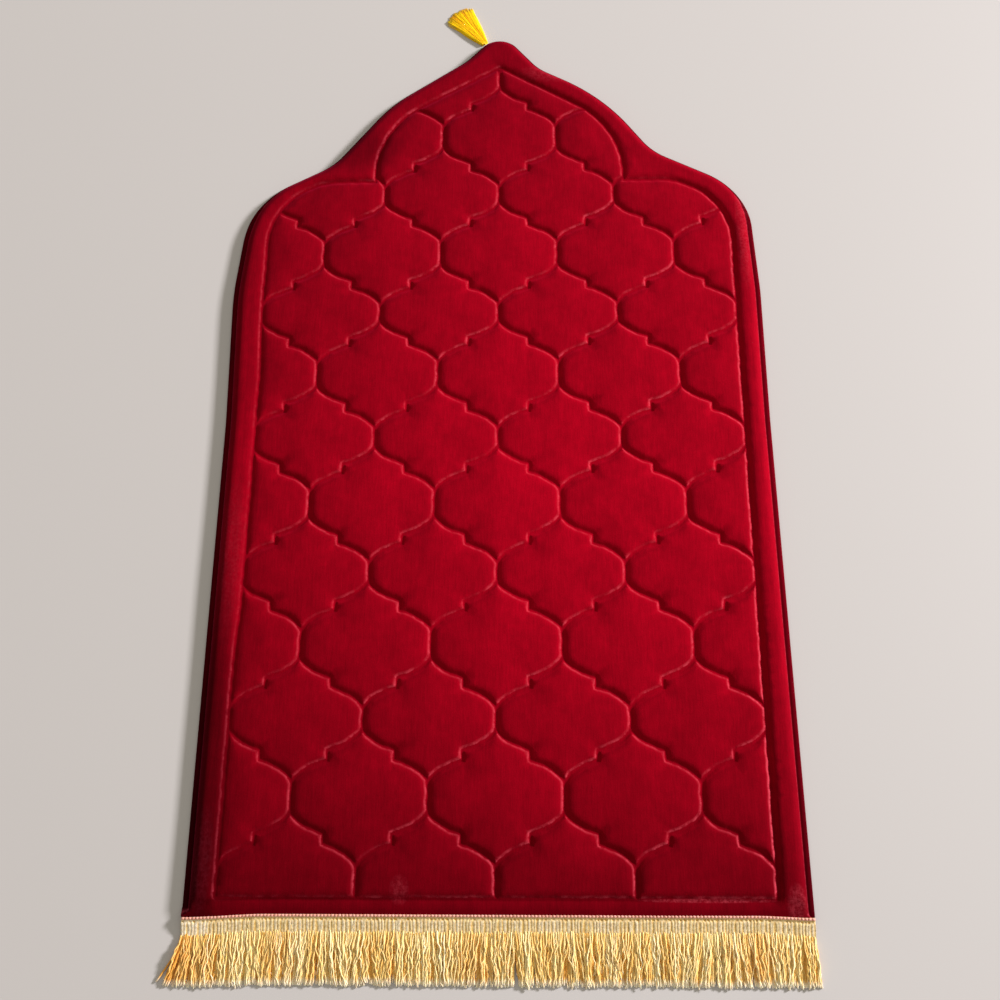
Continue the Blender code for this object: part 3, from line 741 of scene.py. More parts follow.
def model_heading():
    """Woven tape with a corded edge, an open row and raised ribs, over the foot and down to the floor."""
    rng = np.random.default_rng(SEED)
    left, right = foot_ends()
    bpy.ops.object.select_all(action="DESELECT")
    bpy.ops.mesh.primitive_grid_add(x_subdivisions=TAPE_COLUMNS, y_subdivisions=len(TAPE) - 1, size=2.0)
    piece = bpy.context.object
    piece.name = piece.data.name = "heading_tape"
    flat = np.empty(len(piece.data.vertices) * 3)
    piece.data.vertices.foreach_get("co", flat)
    flat = flat.reshape(-1, 3)
    share = (flat[:, 0] + 1) / 2
    row = np.array(TAPE)[np.rint((1 - flat[:, 1]) / 2 * (len(TAPE) - 1)).astype(int)]
    level, height, bead, hole, rib, tone = row.T
    knots = np.linspace(0, 1, DRIFT_KNOTS)
    drifted = share + DRIFT * np.interp(share, knots, rng.normal(0, 1, DRIFT_KNOTS))
    bead_top = rounded(BEADS * share)
    rib_top = rounded(RIBS * drifted) ** 1.5 * (RIB_TOP + RIB_PLIES * rounded(2 * RIBS * drifted))
    number = np.floor(RIBS * drifted).astype(int) + 2
    size = rng.uniform(*RIB_SIZES, RIBS + 5)[number]
    lean = rng.normal(0, RIB_LEAN, RIBS + 5)[number]
    shade = rng.random(RIBS + 5)[number]
    ragged = rng.random(RIBS + 5)[number]
    hole_size = rng.uniform(*HOLE_SIZES, HOLES + 9)[np.floor(HOLES * share).astype(int) + 2]
    open_hole = hole * rounded(HOLES * drifted) ** 2 * hole_size

    x = left + (right - left) * share + lean * rib * np.sin(np.pi * np.clip(level / TAPE[-1].y, 0, 1))
    y = level - RIB_RAGGED * ragged * np.clip((-level - RAGGED_FROM) / RAGGED_FADE, 0, 1)
    z = height + BEAD_RISE * bead * bead_top + RIB_RISE * rib * size * rib_top - HOLE_DROP * open_hole
    shift = plan_offset()
    points = np.c_[x + shift.x, y + foot_line(x) + shift.y, z]
    piece.data.vertices.foreach_set("co", points.ravel())
    pale = PALE_SHARE * np.clip((-x - PALE_FROM) / PALE_FADE, 0, 1)
    set_attribute(piece, "tone", np.clip(tone + RIB_TONES * (shade - 0.5) * rib + pale, 0, 1))
    set_attribute(piece, "bead", bead)
    # Low places in the relief, where the tape gets painted shade.
    set_attribute(piece, "gap", np.clip(bead * (1 - bead_top) + rib * (1 - rib_top) + open_hole, 0, 1))
    solid = piece.modifiers.new("thickness", "SOLIDIFY")
    solid.thickness = TAPE_THICK
    solid.offset = -1
    bpy.ops.object.modifier_apply(modifier=solid.name)
    return piece


# ---------- yarn
def yarn_piece(name, x, y, z, radii, **shades):
    """Closed tubes through points of shape (yarns, steps), with a radius each and shades for each yarn."""
    paths = np.stack([x, y, z], axis=-1)
    count, steps, _ = paths.shape
    ahead = np.gradient(paths, axis=1)
    ahead /= np.linalg.norm(ahead, axis=2, keepdims=True)
    across = np.cross(ahead, (0.0, 0.0, 1.0))
    across /= np.maximum(np.linalg.norm(across, axis=2, keepdims=True), 1e-9)
    up = np.cross(across, ahead)
    turn = 2 * np.pi * np.arange(YARN_SIDES) / YARN_SIDES
    ring = across[:, :, None] * np.cos(turn)[:, None] + up[:, :, None] * np.sin(turn)[:, None]
    vertices = paths[:, :, None] + ring * radii[:, :, None, None]
    index = np.arange(count * steps * YARN_SIDES).reshape(count, steps, YARN_SIDES)
    after = np.roll(index, -1, axis=2)
    walls = np.stack([index[:, :-1], index[:, 1:], after[:, 1:], after[:, :-1]], axis=-1).reshape(-1, 4)
    faces = walls.tolist() + index[:, 0].tolist() + index[:, -1, ::-1].tolist()
    data = bpy.data.meshes.new(name)
    data.from_pydata(vertices.reshape(-1, 3).tolist(), [], faces)
    data.update()
    piece = linked(name, data)
    for shade, values in shades.items():
        set_attribute(piece, shade, np.repeat(np.clip(values, 0, 1), steps * YARN_SIDES))
    set_attribute(piece, "along", np.tile(np.repeat(ALONG, YARN_SIDES), count))
    return piece


def lay_clumps(rng):
    """Where the bunches of the fringe gather, how they lean, their tone and their lift."""
    home = np.linspace(LEFT_SIDE[0].x, RIGHT_SIDE[0].x, CLUMPS) + rng.normal(0, CLUMP_STEP, CLUMPS)
    size, turns, begin = CLUMP_WAVE
    lean = size * np.sin(turns * home + begin) + rng.normal(0, CLUMP_LEAN, CLUMPS)
    return home, lean, rng.normal(0, CLUMP_TONE, CLUMPS), rng.normal(0, CLUMP_LIFT, CLUMPS)


def patchiness(x):
    """How ochre the fringe is at each place along the foot."""
    return sum(p.amount * np.exp(-((x - p.x) / p.reach) ** 2) for p in OCHRE_PATCHES)


def splay(x):
    """How far sideways the yarns at the two ends of the foot spread."""
    return sum(s.amount * np.clip(1 - np.abs(x - s.x) / s.reach, 0, 1) ** 2 for s in SPLAYS)


def model_fringe_layer(index, layer, clumps, drop, rng):
    """One layer of loose yarns that run on from the ribs, gather in bunches and end on the floor."""
    left, right = foot_ends()
    count = layer.count
    pitch = (right - left) / count
    root = np.clip(left + pitch * (np.arange(count) + 0.5) + rng.normal(0, Uneven.root, count), left, right)
    home, bunch_lean, bunch_tone, bunch_lift = clumps
    member = np.abs(root[:, None] + rng.normal(0, Uneven.bunch, (count, 1)) - home).argmin(axis=1)
    stray = rng.random(count) < STRAYS
    lean = bunch_lean[member] * min(1.0, 2 * layer.gather) + splay(root)
    lean = lean + rng.normal(0, Uneven.lean, count) + stray * rng.normal(0, STRAY_LEAN, count)
    gather = np.where(stray, STRAY_GATHER, layer.gather) * (home[member] - root)
    gather = gather + rng.normal(0, Uneven.gather, count)
    start = layer.start + rng.uniform(*Uneven.start, count)
    ends_from, ends_width, ends_short = END_SHORT
    ends = ends_short * np.clip(np.abs(root) - ends_from, 0, ends_width) / ends_width
    cut = -drop + rng.normal(0, Uneven.cut, count) + ends + stray * rng.uniform(0, STRAY_SHORT, count)

    column = (count, 1)
    waves, phase = rng.uniform(*Uneven.turns, (2, *column)), rng.uniform(0, WAVE, (3, *column))
    sway = layer.sway * rng.uniform(*Uneven.sway, column) * np.sin(WAVE * waves[0] * ALONG + phase[0])
    curl = np.sin(WAVE * CURL_TURNS * waves[1] * ALONG + phase[1])
    sway = sway + CURL * layer.sway * rng.uniform(*Uneven.curl, column) * curl
    crinkle = CRINKLE * layer.sway * rng.normal(0, 1, (2, count, YARN_STEPS)) * np.minimum(1, ALONG * 4)
    x = root[:, None] + gather[:, None] * ALONG + lean[:, None] * ALONG ** LEAN_CURVE
    x = x + sway * np.minimum(1, ALONG * 3) + crinkle[0]
    y = start[:, None] + (cut - start)[:, None] * ALONG + foot_line(root)[:, None]
    bob = rng.uniform(*Uneven.bob, column) * np.sin(WAVE * waves[1] * ALONG + phase[2])
    lowest, above = YARN_ROOTS
    begin = tape_height(start)[:, None] + RIB_RISE * (lowest + above * index) - YARN_SUNK
    rest = layer.rise + bunch_lift[member][:, None] + bob + crinkle[1] + rng.normal(0, Uneven.rest, column)
    rest = rest * (1 - SETTLE * np.clip(ALONG * 2 - 1, 0, 1) ** 2)
    fall = eased(ALONG * 3.0)
    radii = layer.radius * rng.uniform(*Uneven.thickness, column) * (1 - FRAYED * ALONG ** 10)
    radii = radii * (1 + TWIST * np.sin(WAVE * TWIST_TURNS * ALONG + phase[0]))
    z = np.maximum(radii, begin * (1 - fall) + rest * fall)
    shift = plan_offset()
    tone = layer.tone + bunch_tone[member] + rng.normal(0, Uneven.tone, count)
    return yarn_piece(f"fringe_yarn_{index}", x + shift.x, y + shift.y, z, radii,
                      tone=tone, ochre=patchiness(root))


def model_tassel(settings):
    """Fan of yarns from a gathered root, the lowest ones lying on the floor."""
    rng = np.random.default_rng(SEED + 1)
    count = settings.yarns
    side = rng.uniform(-1, 1, count)
    level = rng.random(count)
    angle = side * settings.fan * (1 - UPPER_NARROWER * level)
    length = settings.length * (1 - OUTER_SHORTER * side ** 2) * (1 - UPPER_SHORTER * level)
    length = length * (1 + rng.normal(0, TASSEL_LENGTHS, count))
    column = (count, 1)
    reach = length[:, None] * ALONG
    bend = rng.normal(0, TASSEL_BOW, column) * np.sin(WAVE / 2 * ALONG)
    bend = bend + rng.normal(0, TASSEL_SPREAD, column) * ALONG ** 2
    across = TASSEL_NECK * side[:, None] + reach * np.sin(angle)[:, None] + bend
    along = reach * np.cos(angle)[:, None]
    low, arch = TASSEL_ARCH
    loft = TASSEL_LOFT * level[:, None] * (low + arch * np.sin(WAVE / 2 * ALONG)) * (1 - TASSEL_FALL * ALONG)
    radii = TASSEL_YARN * rng.uniform(*TASSEL_SIZES, column) * (1 - TASSEL_FRAYED * ALONG ** 8)
    z = np.maximum(TASSEL_LOWEST + loft + rng.normal(0, TASSEL_LIFT, column), radii)
    heading = np.array((math.cos(TASSEL_HEADING), math.sin(TASSEL_HEADING)))
    start = np.array(TASSEL_START) + TASSEL_ROOT * heading + plan_offset()[:2]
    turn = TASSEL_HEADING - math.pi / 2
    x = start[0] + across * math.cos(turn) - along * math.sin(turn)
    y = start[1] + across * math.sin(turn) + along * math.cos(turn)
    turns, begin = TASSEL_BAND_WAVE
    tone = TASSEL_TONE + TASSEL_BANDS * np.sin(turns * side + begin) + rng.normal(0, TASSEL_TONES, count)
    return yarn_piece("tassel_yarn", x, y, z, radii, tone=tone)


# ---------- shader nodes
def feed(tree, socket, value):
    """Link a socket to an input, or set the input to a value."""
    if isinstance(value, bpy.types.NodeSocket):
        tree.links.new(value, socket)
    elif socket.type == "RGBA":
        socket.default_value = (*value[:3], 1)
    else:
        socket.default_value = value


def add_node(tree, kind, **values):
    """A shader node. Names with a capital are its inputs, with _ for a space, and the others its settings."""
    node = tree.nodes.new("ShaderNode" + kind)
    for name, value in values.items():
        if name[0].islower():
            setattr(node, name, value)
    for name, value in values.items():
        if name[0].isupper():
            feed(tree, node.inputs[name.replace("_", " ")], value)
    return node


def calc(tree, operation, *terms):
    """A number worked out from sockets or values."""
    node = add_node(tree, "Math", operation=operation)
    for socket, term in zip(node.inputs, terms):
        feed(tree, socket, term)
    return node.outputs[0]


def add_ramp(tree, source, stops, colours):
    """A colour ramp fed by a socket. A plain number is a grey."""
    ramp = add_node(tree, "ValToRGB", Fac=source)
    elements = ramp.color_ramp.elements
    while len(elements) < len(stops):
        elements.new(0.5)
    for element, stop, colour in zip(elements, stops, colours):
        element.position = stop
        element.color = (*([colour] * 3 if isinstance(colour, (int, float)) else colour), 1)
    return ramp.outputs["Color"]


def mixed(tree, kind, factor, first, second):
    """A colour mix; each argument is a socket or a value."""
    node = add_node(tree, "Mix", data_type="RGBA", blend_type=kind)
    for index, value in ((0, factor), (6, first), (7, second)):
        feed(tree, node.inputs[index], value)
    return node.outputs[2]


def product(tree, first, *others):
    """Colours and masks multiplied together."""
    for other in others:
        first = mixed(tree, "MULTIPLY", 1.0, first, other)
    return first


def attribute(tree, name):
    """A number that the piece's mesh carries."""
    return add_node(tree, "Attribute", attribute_name=name).outputs["Fac"]


def object_place(tree):
    """The piece's own coordinates."""
    node = tree.nodes.get("Texture Coordinate") or add_node(tree, "TexCoord")
    return node.outputs["Object"]


def object_axis(tree, axis):
    """One of the piece's own coordinates."""
    return add_node(tree, "SeparateXYZ", Vector=object_place(tree)).outputs[axis]


def noise(tree, scale, **settings):
    """Noise on the piece's own coordinates."""
    return add_node(tree, "TexNoise", Vector=object_place(tree), Scale=scale, **settings).outputs["Fac"]


def new_group(name, inputs, outputs):
    """An empty node group with numbers for sockets, and the sockets of its two ends."""
    tree = bpy.data.node_groups.new(name, "ShaderNodeTree")
    for label, value in inputs.items():
        tree.interface.new_socket(label, in_out="INPUT", socket_type="NodeSocketFloat").default_value = value
    for label in outputs:
        tree.interface.new_socket(label, in_out="OUTPUT", socket_type="NodeSocketFloat")
    return tree, tree.nodes.new("NodeGroupInput").outputs, tree.nodes.new("NodeGroupOutput").inputs


def strand_group():
    """Shared node group: streaks and grain on Object coordinates, stretched by named inputs."""
    if "strand grain" in bpy.data.node_groups:
        return bpy.data.node_groups["strand grain"]
    tree, given, out = new_group("strand grain", {"Across": 700.0, "Along": 90.0, "Grain": 2200.0},
                                 ("Streak", "Grain", "Height"))
    scale = add_node(tree, "CombineXYZ", X=given["Across"], Y=given["Along"], Z=given["Across"])
    stretch = add_node(tree, "VectorMath", operation="MULTIPLY")
    feed(tree, stretch.inputs[0], object_place(tree))
    feed(tree, stretch.inputs[1], scale.outputs["Vector"])
    streak = add_node(tree, "TexNoise", Vector=stretch.outputs["Vector"], Scale=1.0, Detail=3.0,
                      Roughness=0.6).outputs["Fac"]
    grain = noise(tree, given["Grain"], Detail=2.0)
    for name, value in (("Streak", streak), ("Grain", grain), ("Height", calc(tree, "ADD", streak, grain))):
        feed(tree, out[name], value)
    return tree


def add_grain(tree, across, along, grain):
    """The outputs of the shared streaks and grain, per metre across and along the strands."""
    return add_node(tree, "Group", node_tree=strand_group(), Across=across, Along=along, Grain=grain).outputs


def mark_group():
    """Shared node group: a speckled oval mask on Object coordinates, for painted sheen on brushed pile or for
    painted shade.
    """
    if "painted patch" in bpy.data.node_groups:
        return bpy.data.node_groups["painted patch"]
    tree, given, out = new_group("painted patch", {"X": 0.0, "Y": 0.0, "Width": 0.02, "Height": 0.02,
                                              "Strength": 0.5, "Plain": 0.1}, ("Mask",))
    squares = []
    for axis, size in (("X", "Width"), ("Y", "Height")):
        away = calc(tree, "SUBTRACT", object_axis(tree, axis), given[axis])
        share = calc(tree, "DIVIDE", away, given[size])
        squares.append(calc(tree, "MULTIPLY", share, share))
    inner = add_node(tree, "MapRange", Value=calc(tree, "ADD", *squares), From_Min=1.0, From_Max=0.2)
    speckle = add_node(tree, "MapRange", Value=noise(tree, 300.0, Detail=4.0, Roughness=0.7),
                       From_Min=0.42, From_Max=0.64, To_Min=given["Plain"])
    mask = calc(tree, "MULTIPLY", inner.outputs["Result"], speckle.outputs["Result"])
    feed(tree, out["Mask"], calc(tree, "MULTIPLY", mask, given["Strength"]))
    return tree


def painted_patch(tree, mark, plain):
    """The mask of one patch of painted sheen or painted shade, placed in the plan; plain is its least cover
    between speckles.
    """
    shift = plan_offset()
    return add_node(tree, "Group", node_tree=mark_group(), X=mark.x + shift.x, Y=mark.y + shift.y,
                    Width=mark.width, Height=mark.height, Strength=mark.strength, Plain=plain).outputs["Mask"]


def place_ramp(tree, axis, stops, shades, waviness):
    """Slow change of shade over the mat along one axis, with a wavy front."""
    low, high = getattr(MAT_LOW, axis.lower()), getattr(MAT_HIGH, axis.lower())
    wave = calc(tree, "MULTIPLY_ADD", noise(tree, 5.0, Detail=2.0), waviness, object_axis(tree, axis))
    share = add_node(tree, "MapRange", Value=wave, From_Min=low + waviness / 2, From_Max=high + waviness / 2)
    return add_ramp(tree, share.outputs["Result"], stops, shades)


def facing_ramp(tree, heading, stops):
    """1 where the surface leans towards a heading in plan, falling to 0."""
    lean = add_node(tree, "VectorMath", operation="DOT_PRODUCT")
    feed(tree, lean.inputs[0], add_node(tree, "NewGeometry").outputs["Normal"])
    feed(tree, lean.inputs[1], (math.cos(heading), math.sin(heading), 0.0))
    return add_ramp(tree, lean.outputs["Value"], stops, (0, 1))


# ---------- materials
def fresh_material(name):
    """A new material and its node tree."""
    material = bpy.data.materials.new(name)
    material.use_nodes = True
    return material, material.node_tree


def set_shader(tree, **values):
    """Set or link inputs of the material's own shader, with _ for a space."""
    for name, value in values.items():
        feed(tree, tree.nodes["Principled BSDF"].inputs[name.replace("_", " ")], value)


def set_bump(tree, height, strength, distance):
    """Fine relief from a height."""
    bump = add_node(tree, "Bump", Height=height, Strength=strength, Distance=distance)
    set_shader(tree, Normal=bump.outputs["Normal"])


def streaked_pile(tree, colour, grain):
    """Upright streaks, fine specks and broad mottling, with painted shade over the whole mat: darker to the
    left, at the foot and towards the tip.
    """
    pile = Vector(colour)
    streaks = add_ramp(tree, grain["Streak"], (0.30, 0.50, 0.72),
                       (pile * 0.90, pile, pile * 1.10 + Vector((0.004, 0.0001, 0.0005))))
    # Painted shade over the mat: darker to the left, at the foot and towards the tip.
    across = place_ramp(tree, "X", (0.0, 0.10, 0.30, 0.55, 0.80, 1.0),
                        (0.68, 0.76, 0.87, 1.0, 1.0, 0.87), 0.03)
    upwards = place_ramp(tree, "Y", (0.0, 0.05, 0.12, 0.25, 0.45, 0.75, 1.0),
                         (0.42, 0.52, 0.71, 0.88, 1.0, 0.85, 0.56), 0.04)
    mottle = add_grain(tree, 34.0, 13.0, 95.0)
    uneven = [add_ramp(tree, source, NOISE_SPAN, shades) for source, shades in (
        (grain["Grain"], (0.93, 1.06)), (mottle["Streak"], (0.91, 1.07)), (mottle["Grain"], (0.94, 1.04)))]
    return product(tree, streaks, across, upwards, *uneven)


def pile_with_groove_shade(tree, colour, press):
    """Painted shade: darker on the sides of the pressed lines that face away from the lamp, and a little at
    their bottom.
    """
    # Painted shade where the surface beside a line faces away from the lamp.
    turned = product(tree, facing_ramp(tree, PAINTED_LIGHT_HEADING + PAINTED_SHADE_TURN, (0.02, 0.28)),
                     add_ramp(tree, press, (0.55, 0.95), (0, 1)))
    colour = mixed(tree, "MIX", turned, colour, product(tree, colour, (0.60, 0.60, 0.68)))
    return product(tree, colour, add_ramp(tree, press, (0.05, 0.30), (0.96, 1)))


def rim_cloth_and_shade(tree, colour, at_rim):
    """The darker, bluer seam cloth, with painted shade that makes it darkest on the left."""
    colour = product(tree, colour, add_ramp(tree, at_rim, (0, 1), ((1, 1, 1), (0.46, 0.42, 0.56))))
    # Painted shade: the seam is darker towards the left, away from the lamp.
    shaded = place_ramp(tree, "X", (0.0, 0.05, 0.45, 1.0), (0.76, 0.78, 0.92, 1.0), 0.0)
    return mixed(tree, "MULTIPLY", at_rim, colour, shaded)


def painted_lip_highlights(tree, press, at_rim):
    """Mask of painted highlights on the pale lips: beside the pressed lines and along the seam."""
    patches = noise(tree, 170.0, Detail=3.0, Roughness=0.7)
    near_line = calc(tree, "MULTIPLY_ADD", patches, 0.30, calc(tree, "SUBTRACT", press, 0.15))
    broken = add_ramp(tree, patches, (0.40, 0.62), (0.22, 1))

    sideways = place_ramp(tree, "X", (0.0, 0.07, 0.16, 0.86, 0.92), (0.04, 0.10, 0.66, 0.72, 1.0), 0.02)
    at_ends = place_ramp(tree, "Y", (0.0, 0.22, 0.30, 0.52, 0.60, 1.0),
                         (0.60, 0.60, 0.04, 0.04, 0.60, 0.60), 0.02)
    # Painted highlight on the lips that face the lamp, stronger to the right and at the ends.
    lit_lip_highlight = product(
        tree, add_ramp(tree, near_line, (0.18, 0.30, 0.42, 0.60), (0, 0.80, 0.58, 0)),
        place_ramp(tree, "Y", (0.0, 0.30, 0.60, 1.0), (1.0, 0.90, 0.80, 0.66), 0.03),
        mixed(tree, "LIGHTEN", 1.0, sideways, at_ends),
        product(tree, facing_ramp(tree, PAINTED_LIGHT_HEADING, (0.14, 0.60)),
                add_ramp(tree, patches, (0.36, 0.60), (0.35, 1))))

    # A thinner painted highlight on the other lips, broken into patches.
    highlight_breakup = add_ramp(tree, noise(tree, 55.0, Detail=1.0), (0.40, 0.56), (0.15, 1))
    thin_lip_highlight = product(
        tree, add_ramp(tree, near_line, (0.16, 0.28, 0.42, 0.62), (0, 0.50, 0.38, 0)),
        product(tree, facing_ramp(tree, PAINTED_LIGHT_HEADING + THIN_HIGHLIGHT_TURN, (0.10, 0.38)), broken, highlight_breakup,
                place_ramp(tree, "X", (0.05, 0.30, 0.80), (0.20, 0.80, 1.0), 0.03)))

    # Painted highlight along the seam's welt.
    welt_highlight = product(tree, broken, add_ramp(tree, at_rim, (0.02, 0.35, 0.80), (0, 0.50, 0)))
    return mixed(tree, "LIGHTEN", 1.0, mixed(tree, "LIGHTEN", 1.0, lit_lip_highlight, thin_lip_highlight), welt_highlight)


def plush_material(settings):
    """Velvet pile with fine upright streaks, painted shade in the pressed lines and over the mat, painted
    highlights on the lips, and brushed patches shown as painted sheen.
    """
    material, tree = fresh_material("plush_red")
    grain = add_grain(tree, 520.0, 45.0, 800.0)
    press, at_rim = attribute(tree, "pressed"), attribute(tree, "rim")
    colour = pile_with_groove_shade(tree, streaked_pile(tree, settings.pile_colour, grain), press)
    colour = rim_cloth_and_shade(tree, colour, at_rim)
    # Painted highlights on the lips.
    colour = mixed(tree, "MIX", painted_lip_highlights(tree, press, at_rim), colour, settings.painted_sheen_colour)
    # Brushed patches, shown as painted sheen.
    for mark in BRUSHED_SHEEN_MARKS:
        colour = mixed(tree, "MIX", painted_patch(tree, mark, 0.12), colour, settings.painted_sheen_colour)
    # Broad patches of painted shade.
    for mark in SHADE_MARKS:
        shade = product(tree, colour, (0.36, 0.36, 0.40))
        colour = mixed(tree, "MIX", painted_patch(tree, mark, 1.0), colour, shade)
    set_bump(tree, grain["Height"], 0.22, 0.0005)
    set_shader(tree, Base_Color=colour, Roughness=0.85, Sheen_Weight=0.17, Sheen_Roughness=0.45,
               Sheen_Tint=(1.0, 0.03, 0.14), Specular_IOR_Level=0.01)
    return material


def yarn_material(name, stops, colours, roughness):
    """Twisted yarn, each strand with its own tone. Also returns its tree and colour, to be finished."""
    material, tree = fresh_material(name)
    grain = add_grain(tree, 900.0, 500.0, 2600.0)
    colour = product(tree, add_ramp(tree, attribute(tree, "tone"), stops, colours),
                     add_ramp(tree, grain["Streak"], (0.3, 0.7), (0.84, 1.08)))
    set_bump(tree, grain["Height"], 0.35, 0.0004)
    set_shader(tree, Base_Color=colour, Roughness=roughness, Sheen_Weight=0.12, Sheen_Roughness=0.4,
               Sheen_Tint=(1.0, 0.72, 0.34), Specular_IOR_Level=0.15, Subsurface_Weight=0.12,
               Subsurface_Radius=(1.0, 0.6, 0.25), Subsurface_Scale=0.001)
    return material, tree, colour


def golden_yarn(name, settings):
    """Yarn in the fringe's golden shades, from the deepest to the palest."""
    shades = settings.deep_colour, settings.warm_colour, settings.light_colour, settings.pale_colour
    return yarn_material(name, GOLD_STOPS, shades, 0.55)


def gold_material(settings):
    """Golden yarn with ochre patches and pale cut tips."""
    material, tree, yarn = golden_yarn("gold_yarn", settings)
    yarn = mixed(tree, "MIX", attribute(tree, "ochre"), yarn, product(tree, yarn, OCHRE_TINT))
    tip = add_ramp(tree, attribute(tree, "along"), (0.86, 0.98), (0, 0.85))
    set_shader(tree, Base_Color=mixed(tree, "MIX", tip, yarn, settings.tip_colour))
    return material


def tape_material(settings):
    """Woven tape: cream gold ribs with warm painted shade in the gaps, and a pinkish beige corded edge."""
    material, tree, woven = golden_yarn("gold_tape", settings)
    bead = add_ramp(tree, attribute(tree, "bead"), (0.2, 0.6), (0, 1))
    woven = mixed(tree, "MIX", bead, woven, settings.cord_colour)
    # Warm painted shade in the gaps between ribs, beads and holes, and a cooler tint on the rib tops.
    gap = add_ramp(tree, attribute(tree, "gap"), (0.20, 0.90), ((0.88, 0.91, 1.12), (0.90, 0.74, 0.44)))
    weave = add_ramp(tree, noise(tree, 430.0, Detail=2.0), (0.36, 0.60), ((0.75, 0.70, 0.62), (1, 1, 1)))
    set_shader(tree, Base_Color=product(tree, woven, weave, gap))
    return material


def tassel_material(settings):
    """Bright yellow yarn."""
    return yarn_material("yellow_yarn", (0, 1), (settings.deep_colour, settings.pale_colour), 0.5)[0]


# ---------- settings
COLOUR = {"subtype": "COLOR", "min": 0, "max": 1}  # what every colour setting says


class MatSettings(bpy.types.PropertyGroup):
    """Sizes and colours of the padded mat."""
    groove_depth: FloatProperty(name="Groove depth", description="How deep the lines are pressed",
                                default=0.0029, min=0.001, max=0.009, unit="LENGTH")
    pile_colour: FloatVectorProperty(name="Pile colour", description="Colour of the plush",
                                     default=(0.30, 0.0003, 0.0080), **COLOUR)
    # Pale colour of the painted highlights on the lips and of the brushed patches' painted sheen.
    painted_sheen_colour: FloatVectorProperty(name="Shoulder colour", description="Colour where the pile parts",
                                         default=(0.60, 0.062, 0.095), **COLOUR)


class FringeSettings(bpy.types.PropertyGroup):
    """Length and colours of the fringe."""
    drop: FloatProperty(name="Yarn drop", description="How far the yarns reach below the foot",
                        default=0.0640, min=0.030, max=0.067, unit="LENGTH")
    # The deep colour is partly the yarn's ochre and partly painted shade on the lowest yarns.
    deep_colour: FloatVectorProperty(name="Deep yarn", description="Colour of the lowest yarns",
                                     default=(0.71, 0.365, 0.072), **COLOUR)
    warm_colour: FloatVectorProperty(name="Warm yarn", description="Colour of the lower yarns",
                                     default=(0.84, 0.53, 0.155), **COLOUR)
    light_colour: FloatVectorProperty(name="Light yarn", description="Colour of the upper yarns",
                                      default=(0.90, 0.69, 0.31), **COLOUR)
    pale_colour: FloatVectorProperty(name="Pale yarn", description="Colour of the palest yarns",
                                     default=(0.93, 0.79, 0.49), **COLOUR)
    tip_colour: FloatVectorProperty(name="Cut tips", description="Colour of the cut ends",
                                    default=(0.96, 0.87, 0.68), **COLOUR)
    cord_colour: FloatVectorProperty(name="Corded edge", description="Colour of the beads along the tape",
                                     default=(0.82, 0.40, 0.27), **COLOUR)


class TasselSettings(bpy.types.PropertyGroup):
    """Size and colours of the tassel."""
    length: FloatProperty(name="Length", description="Length of the tassel's yarns",
                          default=0.0660, min=0.030, max=0.070, unit="LENGTH")
    fan: FloatProperty(name="Fan", description="How far the outermost yarns lean from the middle one",
                       default=math.radians(16.0), min=0.0, max=0.6, unit="ROTATION")
    yarns: IntProperty(name="Yarns", description="How many yarns it has", default=330, min=20, max=900)
    deep_colour: FloatVectorProperty(name="Deep yarn", description="Colour of its darkest yarns",
                                     default=(0.86, 0.34, 0.001), **COLOUR)
    pale_colour: FloatVectorProperty(name="Pale yarn", description="Colour of its palest yarns",
                                     default=(1.00, 0.70, 0.002), **COLOUR)


class StudioSettings(bpy.types.PropertyGroup):
    """Floor, lamp and camera."""
    floor_colour: FloatVectorProperty(name="Floor colour", description="Colour of the floor",
                                      default=(0.50, 0.475, 0.465), **COLOUR)
    key_power: FloatProperty(name="Key light", description="Power of the window-like lamp",
                             default=2230.0, min=0.0, unit="POWER")
    sky: FloatProperty(name="Room light", description="Strength of the even light all round",
                       default=0.53, min=0.0)
    focal: FloatProperty(name="Focal length", description="Focal length of the camera",
                         default=44.094, min=1.0, unit="CAMERA")


# ---------- studio
def lay_floor(settings):
    """A plain pale floor under the mat."""
    bpy.ops.object.select_all(action="DESELECT")
    bpy.ops.mesh.primitive_plane_add(size=FLOOR_SIZE, location=(0, 0, 0))
    floor = bpy.context.object
    floor.name = "floor"
    material, tree = fresh_material("floor_paint")
    set_shader(tree, Base_Color=settings.floor_colour, Roughness=0.6)
    floor.data.materials.append(material)


def hang_lamps(settings):
    """Even warm light all round and one low lamp on the right, like a far window."""
    world = bpy.data.worlds.new("room")
    bpy.context.scene.world = world
    world.use_nodes = True
    sky = world.node_tree.nodes["Background"].inputs
    sky["Color"].default_value = (*SKY_TINT, 1)
    sky["Strength"].default_value = settings.sky
    level = math.cos(LAMP_ELEVATION)
    away = Vector((level * math.cos(LAMP_AZIMUTH), level * math.sin(LAMP_AZIMUTH), math.sin(LAMP_ELEVATION)))
    data = bpy.data.lights.new("window", "AREA")
    data.shape = "RECTANGLE"
    data.size, data.size_y = LAMP_SIZE
    data.color = LAMP_TINT
    data.energy = settings.key_power
    lamp = linked("window", data)
    lamp.location = away * LAMP_AWAY
    lamp.rotation_euler = away.to_track_quat("Z", "Y").to_euler()


def set_camera(settings):
    """The camera above the foot, looking up the mat."""
    data = bpy.data.cameras.new("camera")
    data.sensor_width = SENSOR_WIDTH
    data.lens = settings.focal
    camera = linked("camera", data)
    camera.location = Vector(CAMERA_PLACE) + plan_offset()
    camera.rotation_euler = Euler([math.radians(a) for a in CAMERA_TURN], "XYZ")
    bpy.context.scene.camera = camera
    bpy.context.scene.view_settings.view_transform = "Standard"


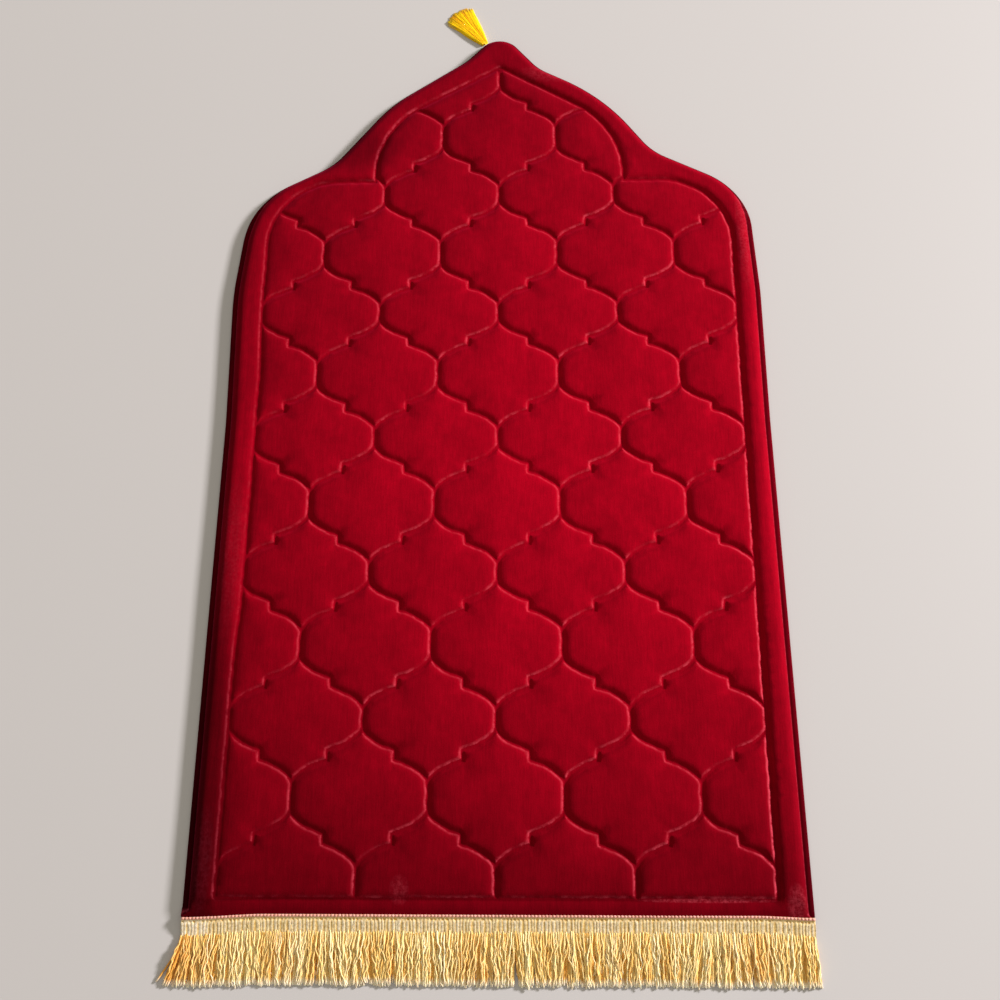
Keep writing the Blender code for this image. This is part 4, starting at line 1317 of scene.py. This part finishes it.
# ---------- operators
class MAT_OT_plush(bpy.types.Operator):
    """Model the padded mat with its pressed trellis"""
    bl_idname = "prayer_mat.plush"
    bl_label = "Padded mat"

    def execute(self, context):
        settings = context.scene.mat_settings
        piece = model_mat(settings.groove_depth)
        dress(piece, plush_material(settings))
        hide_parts("mat")
        return {"FINISHED"}


class MAT_OT_fringe(bpy.types.Operator):
    """Model the woven heading and the loose yarns of the fringe"""
    bl_idname = "prayer_mat.fringe"
    bl_label = "Heading and fringe"

    def execute(self, context):
        settings = context.scene.fringe_settings
        rng = np.random.default_rng(SEED)
        heading = model_heading()
        dress(heading, tape_material(settings))
        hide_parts("fringe")
        yarn = gold_material(settings)
        clumps = lay_clumps(rng)
        layers = [model_fringe_layer(k, layer, clumps, settings.drop, rng) for k, layer in enumerate(LAYERS)]
        for piece in layers:
            dress(piece, yarn)
            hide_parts("fringe")
        width = RIGHT_SIDE[0].x - LEFT_SIDE[0].x - 2 * TAPE_INSET
        TAPE[0].y - TAPE[-1].y
        return {"FINISHED"}


class MAT_OT_tassel(bpy.types.Operator):
    """Model the tassel at the tip"""
    bl_idname = "prayer_mat.tassel"
    bl_label = "Tassel"

    def execute(self, context):
        settings = context.scene.tassel_settings
        piece = model_tassel(settings)
        dress(piece, tassel_material(settings))
        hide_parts("tassel")
        return {"FINISHED"}


class MAT_OT_studio(bpy.types.Operator):
    """Set up the floor, the lamps and the camera"""
    bl_idname = "prayer_mat.studio"
    bl_label = "Studio"

    def execute(self, context):
        settings = context.scene.studio_settings
        lay_floor(settings)
        hang_lamps(settings)
        set_camera(settings)
        return {"FINISHED"}


class MAT_PT_panel(bpy.types.Panel):
    """Lists the pieces of the mat"""
    bl_label = "Prayer mat"
    bl_idname = "MAT_PT_panel"
    bl_space_type = "VIEW_3D"
    bl_region_type = "UI"
    bl_category = "Mat"

    def draw(self, context):
        for operator in OPERATORS:
            self.layout.operator(operator.bl_idname)


SETTINGS = {"mat_settings": MatSettings, "fringe_settings": FringeSettings, "tassel_settings": TasselSettings,
            "studio_settings": StudioSettings}
OPERATORS = (MAT_OT_plush, MAT_OT_fringe, MAT_OT_tassel, MAT_OT_studio)
CLASSES = (*SETTINGS.values(), *OPERATORS, MAT_PT_panel)


def register():
    """Make the classes and their settings known."""
    for cls in CLASSES:
        bpy.utils.register_class(cls)
    for name, kind in SETTINGS.items():
        setattr(bpy.types.Scene, name, PointerProperty(type=kind))


def unregister():
    """Take the settings and the classes out again."""
    for name in SETTINGS:
        delattr(bpy.types.Scene, name)
    for cls in reversed(CLASSES):
        bpy.utils.unregister_class(cls)


def main():
    """Build every piece and the studio."""
    register()
    bpy.ops.prayer_mat.plush()
    bpy.ops.prayer_mat.fringe()
    bpy.ops.prayer_mat.tassel()
    bpy.ops.prayer_mat.studio()


if __name__ == "__main__":
    main()
